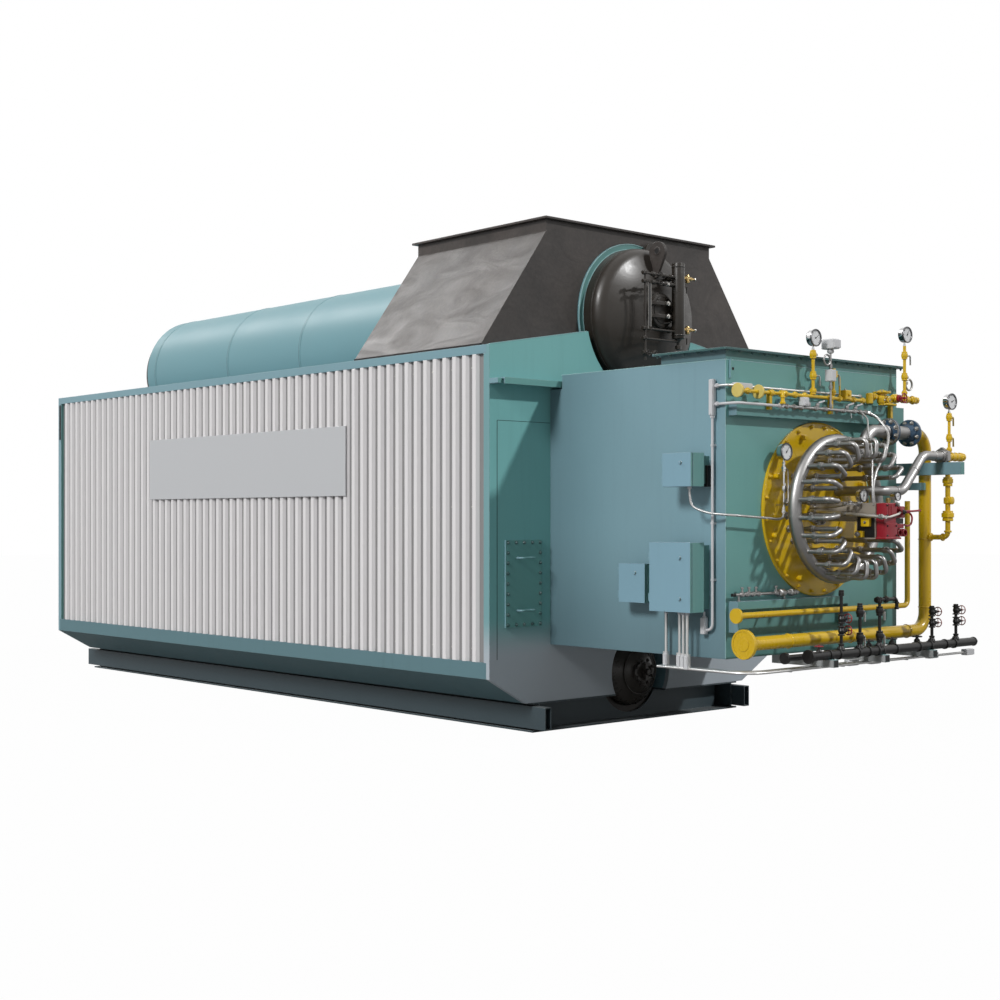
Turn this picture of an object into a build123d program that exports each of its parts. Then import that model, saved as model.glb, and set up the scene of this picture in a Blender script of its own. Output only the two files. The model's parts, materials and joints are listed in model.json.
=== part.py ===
from build123d import *
import math
import os

# Industrial watertube boiler. Millimetres, +Z up, the burner front faces -Y.
# The origin is on the ground under the middle of the skid.

# Driving dimensions: skid
skid_length = 7596
skid_half_width = 1295
beam_height = 245
beam_flange = 150
beam_flange_t = 14
beam_web_t = 10
side_tube_width = 70
side_tube_height = 185
side_tube_wall = 8
side_tube_reach = 150
cross_web_t = 12

# Driving dimensions: casing
casing_length = 7560
casing_half_width = 1768
cladding_depth = 48
skirt_foot_half_width = 1375
skirt_break_z = 465
cladding_foot_z = 597
eave_z = 3154
roof_peak_x = 590
roof_peak_z = 3355
roof_sheet_t = 10
wall_plate_t = 40
corner_post_width = 70
rib_pitch = 126
rib_depth = 30
rib_crest = 44
rib_flank = 20
eave_drop = 60
ledge_z = 2831
ledge_height = 52
ledge_reach = 130

# Driving dimensions: drums
steam_drum_z = 3500
steam_drum_radius = 612
steam_drum_wall = 25
lagging_radius = 669
lagging_start = 100
lagging_end = 7460
steam_head_depth = 220
mud_drum_z = 420
mud_drum_radius = 305
mud_drum_wall = 20
mud_opening_radius = 365
mud_head_depth = 150
mud_head_start = 130

# Driving dimensions: flue hood
hood_front = 111
hood_back = 1815
hood_wall = 12
collar_half_width = 1038
collar_foot_z = 4160
collar_height = 102
flue_flange_t = 18
flue_flange_reach = 40

# Driving dimensions: windbox and burner
windbox_half_width = 1095
windbox_depth = 1874
windbox_foot_z = 715
windbox_top_z = 2937
windbox_wall = 12
inlet_back = 1235
inlet_flange_z = 3002
inlet_flange_t = 18
inlet_flange_reach = 50
burner_z = 1830
burner_plate_radius = 680
burner_plate_t = 16
ring_radius = 530
ring_tube = 50
ring_standoff = 200
injector_places = 24
injector_gap = 4
injector_tube = 18
injector_reach = 315
injector_inner_radius = 400
injector_bend = 36

# Driving dimensions: main gas line
gas_pipe = 51
gas_flange = 110
gas_flange_t = 22
gas_header_z = 838
gas_header_end = -1136
riser_x = 1207
riser_bend = 152
spool_z = 2453
feed_leg_x = 362
feed_flange_x = 673
riser_flange_x = 968
bend_tail = 40
feed_bend = 130

# Driving dimensions: electrical cabinets
cabinet_standoff = 84
cabinet_wall = 4
door_t = 18
door_skin = 3
door_gap = 6
hinge_radius = 7
hinge_pin = 3
hinge_edge = 22
knuckle_height = 28
fixed_knuckle = 14
latch_inset = 100
latch_radius = 11

# Clearances
seat = 0.3
pin_play = 0.3

# Places worked out from the sizes above
front = -skid_length / 2
face = front - windbox_depth
collar_top_z = collar_foot_z + collar_height
roof_slope = (roof_peak_z - eave_z) / (casing_half_width - roof_peak_x)
side_inner = casing_half_width - cladding_depth
casing_back = front + casing_length
lagging_bore = lagging_radius + seat
head_knuckle = 120
ring_y = face - ring_standoff


def roof_z(x):
    """Height of the roof's outer surface at a distance x from the middle."""
    return eave_z + roof_slope * (casing_half_width - abs(x))


def block(x0, x1, y0, y1, z0, z1):
    """A box between two corners."""
    return Pos((x0 + x1) / 2, (y0 + y1) / 2, (z0 + z1) / 2) * Box(x1 - x0, y1 - y0, z1 - z0)


def rod(start, end, radius):
    """A round bar from one point to another."""
    axis = Vector(*end) - Vector(*start)
    return Solid.make_cylinder(radius, axis.length, Plane(origin=start, z_dir=axis))


def tube(start, end, radius, wall):
    """A round tube, open at both ends."""
    return rod(start, end, radius) - rod(start, end, radius - wall)


def pipe(points, radius, bend):
    """A pipe along straight runs joined by tangent bends."""
    path = FilletPolyline(*points, radius=bend) if len(points) > 2 else Line(*points)
    section = Plane(origin=path @ 0, z_dir=path % 0) * Circle(radius)
    return sweep(section, path=path)


def along_y(points, y0, y1):
    """A solid with an outline in X and Z, from y0 to y1."""
    outline = Plane.XZ * make_face(Polyline(*points, close=True))
    return Pos(0, y1, 0) * extrude(outline, y1 - y0)


def along_z(points, z0, z1):
    """A solid with an outline in X and Y, from z0 to z1."""
    return Pos(0, 0, z0) * extrude(make_face(Polyline(*points, close=True)), z1 - z0)


def mirrored(shape):
    """The same piece on the other side of the middle plane."""
    return mirror(shape, about=Plane.YZ)


def turned(shape):
    """The same piece at the rear end of the casing instead of its front."""
    middle = front + casing_length / 2
    return Pos(0, middle, 0) * Rot(0, 0, 180) * Pos(0, -middle, 0) * shape


def joined(shapes):
    """Several solids that touch, as one."""
    whole = shapes[0]
    for shape in shapes[1:]:
        whole = whole + shape
    return whole


def dished_head(radius, depth, knuckle, wall, centre_y, centre_z):
    """A dished end that bulges towards -Y: a crown arc that runs into a knuckle arc, with a wall."""

    def half_profile(r, h, k):
        crown = ((r - k) ** 2 + h**2 - k**2) / (2 * (h - k))
        drop = crown - h
        turn = math.atan2(r - k, drop)
        half = turn / 2
        bend = (turn + math.pi / 2) / 2
        apex = (0, -h)
        crown_mid = (crown * math.sin(half), drop - crown * math.cos(half))
        meet = (crown * math.sin(turn), drop - crown * math.cos(turn))
        knuckle_mid = (r - k + k * math.sin(bend), -k * math.cos(bend))
        return ThreePointArc(apex, crown_mid, meet) + ThreePointArc(meet, knuckle_mid, (r, 0))

    outer = half_profile(radius, depth, knuckle)
    inner = half_profile(radius - wall, depth - wall, knuckle - wall)
    closing = Line((0, -depth), (0, wall - depth)) + Line((radius - wall, 0), (radius, 0))
    profile = make_face(outer.edges() + inner.edges() + closing.edges())
    return Pos(0, centre_y, centre_z) * revolve(profile, axis=Axis.Y)


# Skid

def skid_beam():
    """The right side beam: an I-section with a rectangular tube welded in its outer recess."""
    half = beam_flange / 2
    middle = skid_half_width - half
    length = (front, front + skid_length)
    beam = joined([
        block(middle - half, middle + half, *length, 0, beam_flange_t),
        block(middle - half, middle + half, *length, beam_height - beam_flange_t, beam_height),
        block(middle - beam_web_t / 2, middle + beam_web_t / 2, *length, 0, beam_height),
    ])
    inner = middle + beam_web_t / 2
    low = (beam_height - side_tube_height) / 2
    ends = (front - side_tube_reach, front + skid_length + side_tube_reach)
    outer = block(inner, inner + side_tube_width, *ends, low, low + side_tube_height)
    bore = block(
        inner + side_tube_wall, inner + side_tube_width - side_tube_wall, *ends,
        low + side_tube_wall, low + side_tube_height - side_tube_wall,
    )
    return beam + (outer - bore)


def cross_member(y, notch, web):
    """A cross member between the side beams, notched for the lower drum."""
    half = skid_half_width - beam_flange
    depth = beam_flange / 2
    member = joined([
        block(-half, half, y - depth, y + depth, 0, beam_flange_t),
        block(-half, half, y - depth, y + depth, beam_height - beam_flange_t, beam_height),
        block(-half, half, web - cross_web_t / 2, web + cross_web_t / 2, 0, beam_height),
    ])
    return member - rod((0, y - depth - 1, mud_drum_z), (0, y + depth + 1, mud_drum_z), notch)


# Casing

def casing_body():
    """The gas-tight body of the furnace, between the front and rear walls."""
    foot = skirt_foot_half_width - cladding_depth
    half = [
        (foot, beam_height),
        (side_inner, skirt_break_z),
        (side_inner, roof_z(side_inner) - roof_sheet_t),
        (0, roof_z(0) - roof_sheet_t),
    ]
    outline = half + [(-x, z) for x, z in reversed(half[:-1])]
    y0 = front + wall_plate_t
    y1 = casing_back - wall_plate_t
    body = along_y(outline, y0, y1)
    body -= rod((0, y0 - 1, steam_drum_z), (0, y1 + 1, steam_drum_z), lagging_bore)
    return body - rod((0, y0 - 1, mud_drum_z), (0, y1 + 1, mud_drum_z), mud_opening_radius)


def skirt():
    """The right lower skirt: an upright band over a chamfer."""
    inner = skirt_foot_half_width - cladding_depth
    outline = [
        (inner, beam_height),
        (skirt_foot_half_width, beam_height),
        (casing_half_width, skirt_break_z),
        (casing_half_width, cladding_foot_z),
        (side_inner, cladding_foot_z),
        (side_inner, skirt_break_z),
    ]
    return along_y(outline, front + wall_plate_t, casing_back - wall_plate_t)


def cladding():
    """The right side's ribbed sheet: upright trapezoid ribs at an even pitch."""
    y0 = front + corner_post_width
    y1 = casing_back - corner_post_width
    count = int((y1 - y0 - 40) / rib_pitch)
    start = (y0 + y1 - count * rib_pitch) / 2
    base = casing_half_width - rib_depth
    points = [(side_inner, y0), (base, y0)]
    for n in range(count):
        rib = start + n * rib_pitch + (rib_pitch - rib_crest) / 2
        points += [
            (base, rib - rib_flank),
            (casing_half_width, rib),
            (casing_half_width, rib + rib_crest),
            (base, rib + rib_crest + rib_flank),
        ]
    points += [(base, y1), (side_inner, y1)]
    return along_z(points, cladding_foot_z, eave_z - roof_sheet_t - eave_drop)


def roof():
    """The right roof sheet, from its turned-down eave up to the lagged drum."""
    edge = casing_half_width
    under = roof_sheet_t
    outline = [
        (edge, eave_z),
        (edge, eave_z - under - eave_drop),
        (side_inner, eave_z - under - eave_drop),
        (side_inner, roof_z(side_inner) - under),
        (0, roof_z(0) - under),
        (0, roof_z(0)),
    ]
    y0 = front + wall_plate_t
    y1 = casing_back - wall_plate_t
    sheet = along_y(outline, y0, y1)
    return sheet - rod((0, y0 - 1, steam_drum_z), (0, y1 + 1, steam_drum_z), lagging_bore)


def end_wall():
    """The front wall plate with its corner posts, round openings and edge frame."""
    foot = skirt_foot_half_width
    half = [
        (foot, beam_height),
        (casing_half_width, skirt_break_z),
        (casing_half_width, eave_z),
        (0, roof_z(0)),
    ]
    outline = half + [(-x, z) for x, z in reversed(half[:-1])]
    wall = along_y(outline, front, front + wall_plate_t)
    for x in (side_inner, -casing_half_width):
        post = block(
            x, x + cladding_depth, front + wall_plate_t, front + corner_post_width,
            cladding_foot_z, eave_z - roof_sheet_t - eave_drop,
        )
        wall += post
    wall -= rod((0, front - 1, steam_drum_z), (0, front + wall_plate_t + 1, steam_drum_z), lagging_bore)
    return wall - rod(
        (0, front - 1, mud_drum_z), (0, front + wall_plate_t + 1, mud_drum_z), mud_opening_radius
    )


def ledge():
    """The channel across the front wall above the windbox."""
    end = side_inner
    low = ledge_z
    top = ledge_z + ledge_height
    reach = front - ledge_reach
    return joined([
        block(-end, end, reach, front, top - 10, top),
        block(-end, end, reach, reach + 10, low, top),
    ])


access_plate_x = (-1604, -1202)
access_plate_z = (874, 1583)
access_plate_t = 14
handle_z = (1010, 1436)
handle_width = 150
handle_reach = 60


def access_plate():
    """The bolted plate on the front wall with its two handles."""
    plate = block(*access_plate_x, front - access_plate_t, front, *access_plate_z)
    middle = sum(access_plate_x) / 2
    y = front - access_plate_t
    for z in handle_z:
        ends = [(middle - handle_width / 2, y + 2, z), (middle + handle_width / 2, y + 2, z)]
        points = [
            ends[0],
            (ends[0][0], y - handle_reach, z),
            (ends[1][0], y - handle_reach, z),
            ends[1],
        ]
        plate += pipe(points, 9, 24)
    return plate


board_y = (1925, 5418)
board_z = (1958, 2583)
board_t = 12


def side_board():
    """The bare sign board on the left cladding."""
    x = -casing_half_width
    return block(x - board_t, x, front + board_y[0], front + board_y[1], *board_z)


# Drums

def drum_lagging():
    """The lagging round the steam drum, with its end ring."""
    y0 = front + lagging_start
    y1 = front + lagging_end
    return tube((0, y0, steam_drum_z), (0, y1, steam_drum_z), lagging_radius,
                lagging_radius - steam_drum_radius)


def steam_drum():
    """The steam drum's shell."""
    return tube((0, front, steam_drum_z), (0, casing_back, steam_drum_z),
                steam_drum_radius - seat, steam_drum_wall)


manway_x_radius = 135
manway_z_radius = 150
manway_rise = 50


def steam_head():
    """The steam drum's front head: the dished end and its manway ring."""
    head = dished_head(steam_drum_radius - seat, steam_head_depth, head_knuckle, steam_drum_wall,
                       front, steam_drum_z)
    y = front - steam_head_depth
    oval = Plane.XZ * Ellipse(manway_x_radius, manway_z_radius)
    ring = Pos(0, y + 22, steam_drum_z + manway_rise) * extrude(oval, 52)
    cover = Plane.XZ * Ellipse(manway_x_radius - 35, manway_z_radius - 35)
    ring -= Pos(0, y - 18, steam_drum_z + manway_rise) * extrude(cover, 20)
    return head + ring


def mud_drum():
    """The lower drum's shell, carried in the notches of the cross members."""
    y0 = front + mud_head_start
    y1 = casing_back - mud_head_start
    return tube((0, y0, mud_drum_z), (0, y1, mud_drum_z), mud_drum_radius, mud_drum_wall)


def mud_head():
    """The lower drum's front head with its hand hole ring, cover, yoke and bolt."""
    y = front + mud_head_start
    head = dished_head(mud_drum_radius, mud_head_depth, 70, mud_drum_wall, y, mud_drum_z)
    tip = y - mud_head_depth
    oval = Plane.XZ * Ellipse(118, 84)
    ring = Pos(0, tip + 12, mud_drum_z) * extrude(oval, 34)
    hole = Plane.XZ * Ellipse(92, 60)
    ring -= Pos(0, tip - 8, mud_drum_z) * extrude(hole, 14)
    yoke = block(-16, 16, tip - 52, tip - 22, mud_drum_z - 76, mud_drum_z + 76)
    bolt = rod((0, tip - 8, mud_drum_z), (0, tip - 78, mud_drum_z), 14)
    return joined([head, ring, yoke, bolt])


# Drum fittings

lug_x = 200
lug_t = 25
lug_neck = 62
lug_head = 100
lug_rise = 88
lug_top = steam_drum_z + steam_drum_radius + lug_rise
lug_hole = 28


def lifting_lug():
    """The paddle-shaped lifting lug that stands on the steam drum's shell."""
    y = front + lagging_start / 2
    low = steam_drum_z + steam_drum_radius / 2
    round_z = lug_top - lug_head
    outline = [(lug_x - lug_neck, low), (lug_x + lug_neck, low), (lug_x + lug_head, round_z),
               (lug_x - lug_head, round_z)]
    lug = along_y(outline, y - lug_t / 2, y + lug_t / 2)
    lug += rod((lug_x, y - lug_t / 2, round_z), (lug_x, y + lug_t / 2, round_z), lug_head)
    lug -= rod((0, y - lug_t, steam_drum_z), (0, y + lug_t, steam_drum_z), steam_drum_radius)
    return lug - rod((lug_x, y - lug_t, round_z), (lug_x, y + lug_t, round_z), lug_hole)


column_x = 130
column_y = -318
column_radius = 56
column_z = (3306, 3966)
column_ports_z = (3400, 3845)
column_port = 17
glass_x = -287
glass_z = (3090, 3870)
glass_arms_z = (3160, 3285, 3370, 3770, 3840)


def head_face(r):
    """How far the steam drum head stands in front of its rim at a radius r from its axis."""
    crown = ((steam_drum_radius - seat - head_knuckle) ** 2 + steam_head_depth**2 - head_knuckle**2) / (
        2 * (steam_head_depth - head_knuckle)
    )
    return steam_head_depth - crown + math.sqrt(crown**2 - r**2)


def water_column():
    """The water column in front of the drum head, with its connections and its gauge glass pipe."""
    y = front + column_y
    low, high = column_z
    parts = [
        rod((column_x, y, low), (column_x, y, high), column_radius),
        rod((column_x, y, low - 14), (column_x, y, low + 14), column_radius + 18),
        rod((column_x, y, high - 14), (column_x, y, high + 14), column_radius + 18),
        rod((column_x, y, low - 90), (column_x, y, low), 14),
    ]
    for z in column_ports_z:
        place = math.hypot(column_x, z - steam_drum_z) - column_port
        end = front - head_face(place) - seat
        parts.append(rod((column_x, y, z), (column_x, end, z), column_port))
    parts.append(rod((glass_x, y, glass_z[0]), (glass_x, y, glass_z[1]), 12))
    parts += [rod((glass_x - 30, y, z), (column_x, y, z), 10) for z in glass_arms_z[1:]]
    parts.append(rod((glass_x - 30, y, glass_arms_z[0]), (glass_x + 150, y, glass_arms_z[0]), 10))
    for x in (glass_x, glass_x + 90):
        parts.append(rod((x, y - 26, glass_arms_z[0]), (x, y + 26, glass_arms_z[0]), 26))
    for z in glass_arms_z[3:]:
        parts += [rod((x - 16, y, z), (x + 16, y, z), 22) for x in (-190, -60, 60)]
    return joined(parts)


def gauge_cocks():
    """The brass gauge cocks on the right of the water column."""
    y = front + column_y
    parts = []
    for z in column_ports_z:
        x = column_x + column_radius + seat
        parts.append(joined([
            rod((x, y, z), (x + 130, y, z), 16),
            rod((x + 55, y, z - 40), (x + 55, y, z + 40), 24),
            rod((x + 110, y, z - 30), (x + 110, y, z + 30), 14),
        ]))
    return Compound(parts)


# Flue hood

def hood_prism(wall, foot):
    """The hood's tapered outline, shrunk by a wall, on a foot below the eave."""
    rise = collar_foot_z - eave_z
    run = casing_half_width - collar_half_width
    slant = math.hypot(rise, run) / rise
    bottom = casing_half_width - wall * slant + (eave_z - foot) * run / rise
    top = collar_half_width - wall * slant
    outline = [(-bottom, foot), (-top, collar_foot_z), (top, collar_foot_z), (bottom, foot)]
    return along_y(outline, front + hood_front + wall, front + hood_back - wall)


def below_roof(y0, y1):
    """The space under the roof's outer surface."""
    half = [(casing_half_width + 200, roof_z(casing_half_width) - 300),
            (casing_half_width + 200, eave_z + seat),
            (casing_half_width, eave_z + seat),
            (0, roof_z(0) + seat)]
    outline = half + [(-x, z) for x, z in reversed(half[:-1])]
    return along_y(outline, y0, y1)


def flue_hood():
    """The tapered hood and its upright collar, with holes that the lagging passes through."""
    y0 = front + hood_front
    y1 = front + hood_back
    half = collar_half_width
    hood = hood_prism(0, eave_z - 100) + block(-half, half, y0, y1, collar_foot_z, collar_top_z)
    hood -= hood_prism(hood_wall, eave_z - 200)
    hood -= block(-half + hood_wall, half - hood_wall, y0 + hood_wall, y1 - hood_wall,
                  collar_foot_z - 40, collar_top_z + 1)
    hood -= below_roof(y0 - 1, y1 + 1)
    return hood - rod((0, y0 - 1, steam_drum_z), (0, y1 + 1, steam_drum_z), lagging_bore)


def flue_flange():
    """The outlet flange round the top of the collar."""
    y0 = front + hood_front
    y1 = front + hood_back
    half = collar_half_width
    reach = flue_flange_reach
    flange = block(-half - reach, half + reach, y0 - reach, y1 + reach,
                   collar_top_z, collar_top_z + flue_flange_t)
    return flange - block(-half + hood_wall, half - hood_wall, y0 + hood_wall, y1 - hood_wall,
                          collar_top_z - 1, collar_top_z + flue_flange_t + 1)


# Windbox and air inlet

def windbox():
    """The hollow windbox in front of the front wall, open under its air inlet."""
    half = windbox_half_width
    t = windbox_wall
    back = front - seat
    notch = front - ledge_reach - 10
    outline = [(back, windbox_foot_z), (face, windbox_foot_z), (face, windbox_top_z),
               (notch, windbox_top_z), (notch, ledge_z - 10), (back, ledge_z - 10)]
    side = Plane.YZ * make_face(Polyline(*outline, close=True))
    outer = Pos(-half, 0, 0) * extrude(side, 2 * half)
    inner_outline = [(back - t, windbox_foot_z + t), (face + t, windbox_foot_z + t),
                     (face + t, windbox_top_z - t), (notch - t, windbox_top_z - t),
                     (notch - t, ledge_z - 10 - t), (back - t, ledge_z - 10 - t)]
    inner_side = Plane.YZ * make_face(Polyline(*inner_outline, close=True))
    inner = Pos(-half + t, 0, 0) * extrude(inner_side, 2 * (half - t))
    mouth = block(-half + t, half - t, face + t, front - inlet_back - t,
                  windbox_top_z - t - 1, windbox_top_z + 1)
    return outer - inner - mouth


def air_inlet():
    """The short duct on the windbox with the air inlet flange."""
    half = windbox_half_width
    t = windbox_wall
    y0 = face
    y1 = front - inlet_back
    top = inlet_flange_z
    duct = block(-half, half, y0, y1, windbox_top_z, top)
    flange = block(-half - inlet_flange_reach, half + inlet_flange_reach, y0 - inlet_flange_reach,
                   y1 + inlet_flange_reach, top, top + inlet_flange_t)
    mouth = block(-half + t, half - t, y0 + t, y1 - t, windbox_top_z - 1, top + inlet_flange_t + 1)
    return duct + flange - mouth


# Burner

def burner_plate():
    """The round burner plate on the windbox."""
    return rod((0, face, burner_z), (0, face - burner_plate_t, burner_z), burner_plate_radius)


def gas_ring():
    """The ring manifold, with the feed leg that comes down to it from the spool."""
    section = Plane.XY.offset(burner_z) * Pos(ring_radius, ring_y) * Rot(0, 0, 37) * Circle(ring_tube)
    ring = revolve(section, axis=Axis((0, ring_y, burner_z), (0, 1, 0)))
    end_z = burner_z + math.sqrt(ring_radius**2 - feed_leg_x**2)
    points = [(feed_leg_x, ring_y, end_z), (feed_leg_x, ring_y, spool_z),
              (feed_flange_x - seat, ring_y, spool_z)]
    return ring + pipe(points, gas_pipe, feed_bend)


def gas_injectors():
    """U-shaped tubes from the ring, forward, inward and back into the burner plate.

    They stand at an even pitch, but for the gap on the right that the bent steel pipe passes through.
    """
    far = ring_y - injector_reach
    root = ring_y - gas_pipe - seat
    plate = face - burner_plate_t
    points = [(ring_radius, root, 0), (ring_radius, far, 0), (injector_inner_radius, far, 0),
              (injector_inner_radius, plate, 0)]
    one = pipe(points, injector_tube, injector_bend)
    step = 360 / injector_places
    places = [(n + injector_gap / 2 + 0.5) * step for n in range(injector_places - injector_gap)]
    return Compound([(Pos(0, 0, burner_z) * Rot(0, -place, 0) * one).solid() for place in places])


gun_x = (-55, 265)
gun_z = (1600, 1875)
gun_back = -420
gun_depth = 170
actuator_depth = 90


def burner_gun():
    """The burner gun's flanged barrel and the control block in front of it."""
    y = face - burner_plate_t
    block_back = face + gun_back
    barrel = rod((0, y, burner_z - 20), (0, block_back, burner_z - 20), 76)
    flange = rod((0, y, burner_z - 20), (0, y - 24, burner_z - 20), 108)
    body = block(*gun_x, block_back - gun_depth, block_back, *gun_z)
    return joined([barrel, flange, body])


def burner_actuator():
    """The actuator in front of the control block, with its lever."""
    back = face + gun_back - gun_depth
    y = back - actuator_depth
    x0, x1 = gun_x
    z0, z1 = gun_z
    body = block(x0 + 10, x1, y, back, z0, z1)
    hub = rod((x1 - 40, y, z1 - 80), (x1 - 40, y - 50, z1 - 80), 30)
    lever = pipe([(x1 - 40, y - 36, z1 - 80), (x1 - 40, y - 36, z1 - 20), (x1 + 150, y - 36, z1 - 20)],
                 9, 20)
    return joined([body, hub, lever])


# Main gas line

def gas_flange_ring(x, outward):
    """A pipe flange whose face is at x."""
    return rod((x, ring_y, spool_z), (x + outward * gas_flange_t, ring_y, spool_z), gas_flange)


def gas_header():
    """The main gas header with its blind flange end and weld bands."""
    end = riser_x - riser_bend - bend_tail
    pipe_run = rod((gas_header_end, ring_y, gas_header_z), (end, ring_y, gas_header_z), gas_pipe)
    blind = rod((gas_header_end, ring_y, gas_header_z),
                (gas_header_end + gas_flange_t, ring_y, gas_header_z), gas_flange)
    return pipe_run + blind


def gas_riser():
    """The riser from the header up to the spool, with a bend at each end."""
    points = [
        (riser_x - riser_bend - bend_tail + seat, ring_y, gas_header_z),
        (riser_x, ring_y, gas_header_z),
        (riser_x, ring_y, spool_z),
        (riser_flange_x + gas_flange_t + seat, ring_y, spool_z),
    ]
    return pipe(points, gas_pipe, riser_bend)


def gas_spool():
    """The flanged spool between the riser and the ring manifold's feed leg."""
    return joined([
        gas_flange_ring(feed_flange_x, 1),
        rod((feed_flange_x, ring_y, spool_z), (riser_flange_x, ring_y, spool_z), gas_pipe),
        gas_flange_ring(riser_flange_x, 1),
    ])


branch_y = -216
branch_z = 1604
branch_pipe = 21
bend_z = 2262
bend_low_z = 1972
bend_run_x = (250, 555)
bend_radius = 38
union_radius = 50
arm_x = (1095, 1150)
arm_height = 100
arm_reach = 604
strap_z = (1990, 2050)


def branch_riser():
    """The small branch that leaves the riser, with its unions, the tee over the arm and a gauge stem."""
    y = ring_y + branch_y
    start = ring_y - gas_pipe - seat
    top = bend_z
    parts = [
        pipe([(riser_x, start, branch_z), (riser_x, y, branch_z), (riser_x, y, top)], branch_pipe, 45),
        rod((riser_x - 50, y, top), (riser_x + 230, y, top), 34),
        rod((branch_gauge_x, y, top), (branch_gauge_x, y, branch_gauge_z - gauge_radius - gauge_drop - seat), 13),
    ]
    parts += [block(branch_gauge_x - 25, branch_gauge_x + 25, y - 25, y + 25, z - 25, z + 25)
              for z in (2415, 2585)]
    parts += [rod((riser_x, y, z - 24), (riser_x, y, z + 24), 40) for z in (1777, 1924, 2071)]
    return joined(parts)


def bend_pipe():
    """The steel pipe that bends from its union down through the injectors' gap into the burner plate."""
    y = ring_y + branch_y
    start = riser_x - 50 - seat
    high, low = bend_z, bend_low_z
    left, right = bend_run_x
    run = [(start, y, high), (right + high - low, y, high), (right, y, low), (left, y, low),
           (left, face - burner_plate_t, low)]
    steel = pipe(run, bend_radius, [140, 140, 90])
    union = rod((start, y, high), (start - 66, y, high), union_radius)
    return joined([steel, union])


def bracket_arm():
    """The channel arm on the windbox's corner, and the strap that holds the riser."""
    x0, x1 = arm_x
    top = bend_z - union_radius - seat
    arm = block(x0, x1, face - arm_reach, face + 60, top - arm_height, top)
    strap = block(x0, x0 + 12, ring_y - 40, face + 60, *strap_z)
    strap += block(x0, riser_x - gas_pipe - seat, ring_y - 40, ring_y + 40, *strap_z)
    return Compound([arm.solid(), strap.solid()])


# Pilot gas line, instruments, small header

shelf_reach = 76
shelf_t = 8
shelf_foot = burner_z + burner_plate_radius + shelf_t
shelf_right_x = (-500, 1087)
shelf_right_top = shelf_foot + 152
shelf_left_x = (-1060, -500)
shelf_left_top = shelf_foot + 92
low_shelf_x = (-1060, 300)
low_shelf_reach = 90
low_shelf_drop = 230
left_riser_x = -171
left_riser_top = 3060
right_riser_x = 1064
right_riser_top = 3180
pilot_y = -100
pilot_z = 2700


def shelf(x, top):
    """One plate shelf between two X positions, open below and at the back."""
    y0 = face - shelf_reach
    inside = block(x[0] + shelf_t, x[1] - shelf_t, y0 + shelf_t, face + 1, shelf_foot - 1, top - shelf_t)
    return block(*x, y0, face, shelf_foot, top) - inside


def shelves():
    """The plate shelves on the windbox front that carry the small lines."""
    x0, x1 = low_shelf_x
    y0 = face - low_shelf_reach
    top = burner_z - burner_plate_radius - shelf_t
    low = block(x0, x1, y0, face, top - shelf_t, top)
    low += block(x0, x1, y0, y0 + shelf_t, top - 60, top)
    low += block(x0, x0 + shelf_t, y0, face, top - low_shelf_drop, top)
    low += block(x1 - shelf_t, x1, y0, face, top - low_shelf_drop, top)
    both = shelf(shelf_right_x, shelf_right_top) + shelf(shelf_left_x, shelf_left_top)
    return Compound([both.solid(), low.solid()])


def pipe_foot(x, top):
    """A bracket from the pilot line back to the shelf's front."""
    return block(x - 15, x + 15, face + pilot_y - 8, face - shelf_reach, shelf_left_top - 40, top)


def riser_valve(x, z):
    """The body of a small ball valve on a gauge riser."""
    y = face + pilot_y
    return block(x - 27, x + 27, y - 27, y + 27, z - 27, z + 27)


def pilot_line():
    """The pilot gas line with its blind flanges, tees, unions, valves and gauge risers."""
    y = face + pilot_y
    z = pilot_z
    parts = [
        rod((-1066, y, z), (480, y, z), 17),
        rod((-1086, y, z), (-1066, y, z), 54),
        rod((-846, y, z), (-826, y, z), 54),
        rod((-560, y, z), (-530, y, z), 30),
        rod((-300, y, z), (-264, y, z), 30),
        pipe([(-545, y, z), (-611, y, z), (-611, y, z - 75)], 17, 34),
        rod((left_riser_x, y, z), (left_riser_x, y, left_riser_top), 15),
        rod((90, y, z), (90, y, 2930), 14),
        block(65, 115, y - 25, y + 25, 2860, 2915),
        block(205, 280, y - 38, y + 38, z - 5, z + 70),
    ]
    parts += [riser_valve(left_riser_x, left_riser_top - drop) for drop in (198, 35)]
    parts += [pipe_foot(x, z) for x in (-700, 60)]
    right = [
        rod((570, y, z + 40), (1250, y, z + 40), 22),
        rod((570, y, z + 62), (570, y, z - 20), 24),
        rod((740, y, z + 40), (740, y, z + 96), 34),
        rod((740, y, z + 84), (740, y, z + 106), 86),
        rod((700, y - 20, z - 16), (700, y - 20, z + 50), 38),
        rod((780, y - 20, z - 16), (780, y - 20, z + 50), 34),
        block(906, 962, y - 30, y + 30, z + 10, z + 70),
        rod((934, y, z + 40), (934, y - 90, z + 40), 12),
        block(924, 944, y - 100, y - 84, z, z + 84),
        rod((right_riser_x, y, z + 40), (right_riser_x, y, right_riser_top), 15),
        riser_valve(right_riser_x, z + 40),
        pipe_foot(870, z + 40),
    ]
    right += [riser_valve(right_riser_x, right_riser_top - drop) for drop in (253, 77)]
    return Compound([joined(parts).solid(), joined(right).solid()])


steel_y = -shelf_reach - 50
steel_z = 2605
steel_end_x = 500
shelf_line_z = 1190


def transmitter():
    """The pressure transmitter on its stem, with its siphon loop and isolating box."""
    x = 17
    y = face + steel_y
    return joined([
        rod((x, y, steel_z), (x, y, 3080), 9),
        block(x - 30, x + 30, y - 34, y + 34, 2826, 2916),
        rod((x - 45, y - 10, 2990), (x - 45, y + 10, 2990), 46),
        rod((x, y, 3040), (x, y, 3080), 26),
        block(x - 42, x + 42, y - 62, y + 62, 3074, 3156),
    ])


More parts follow.
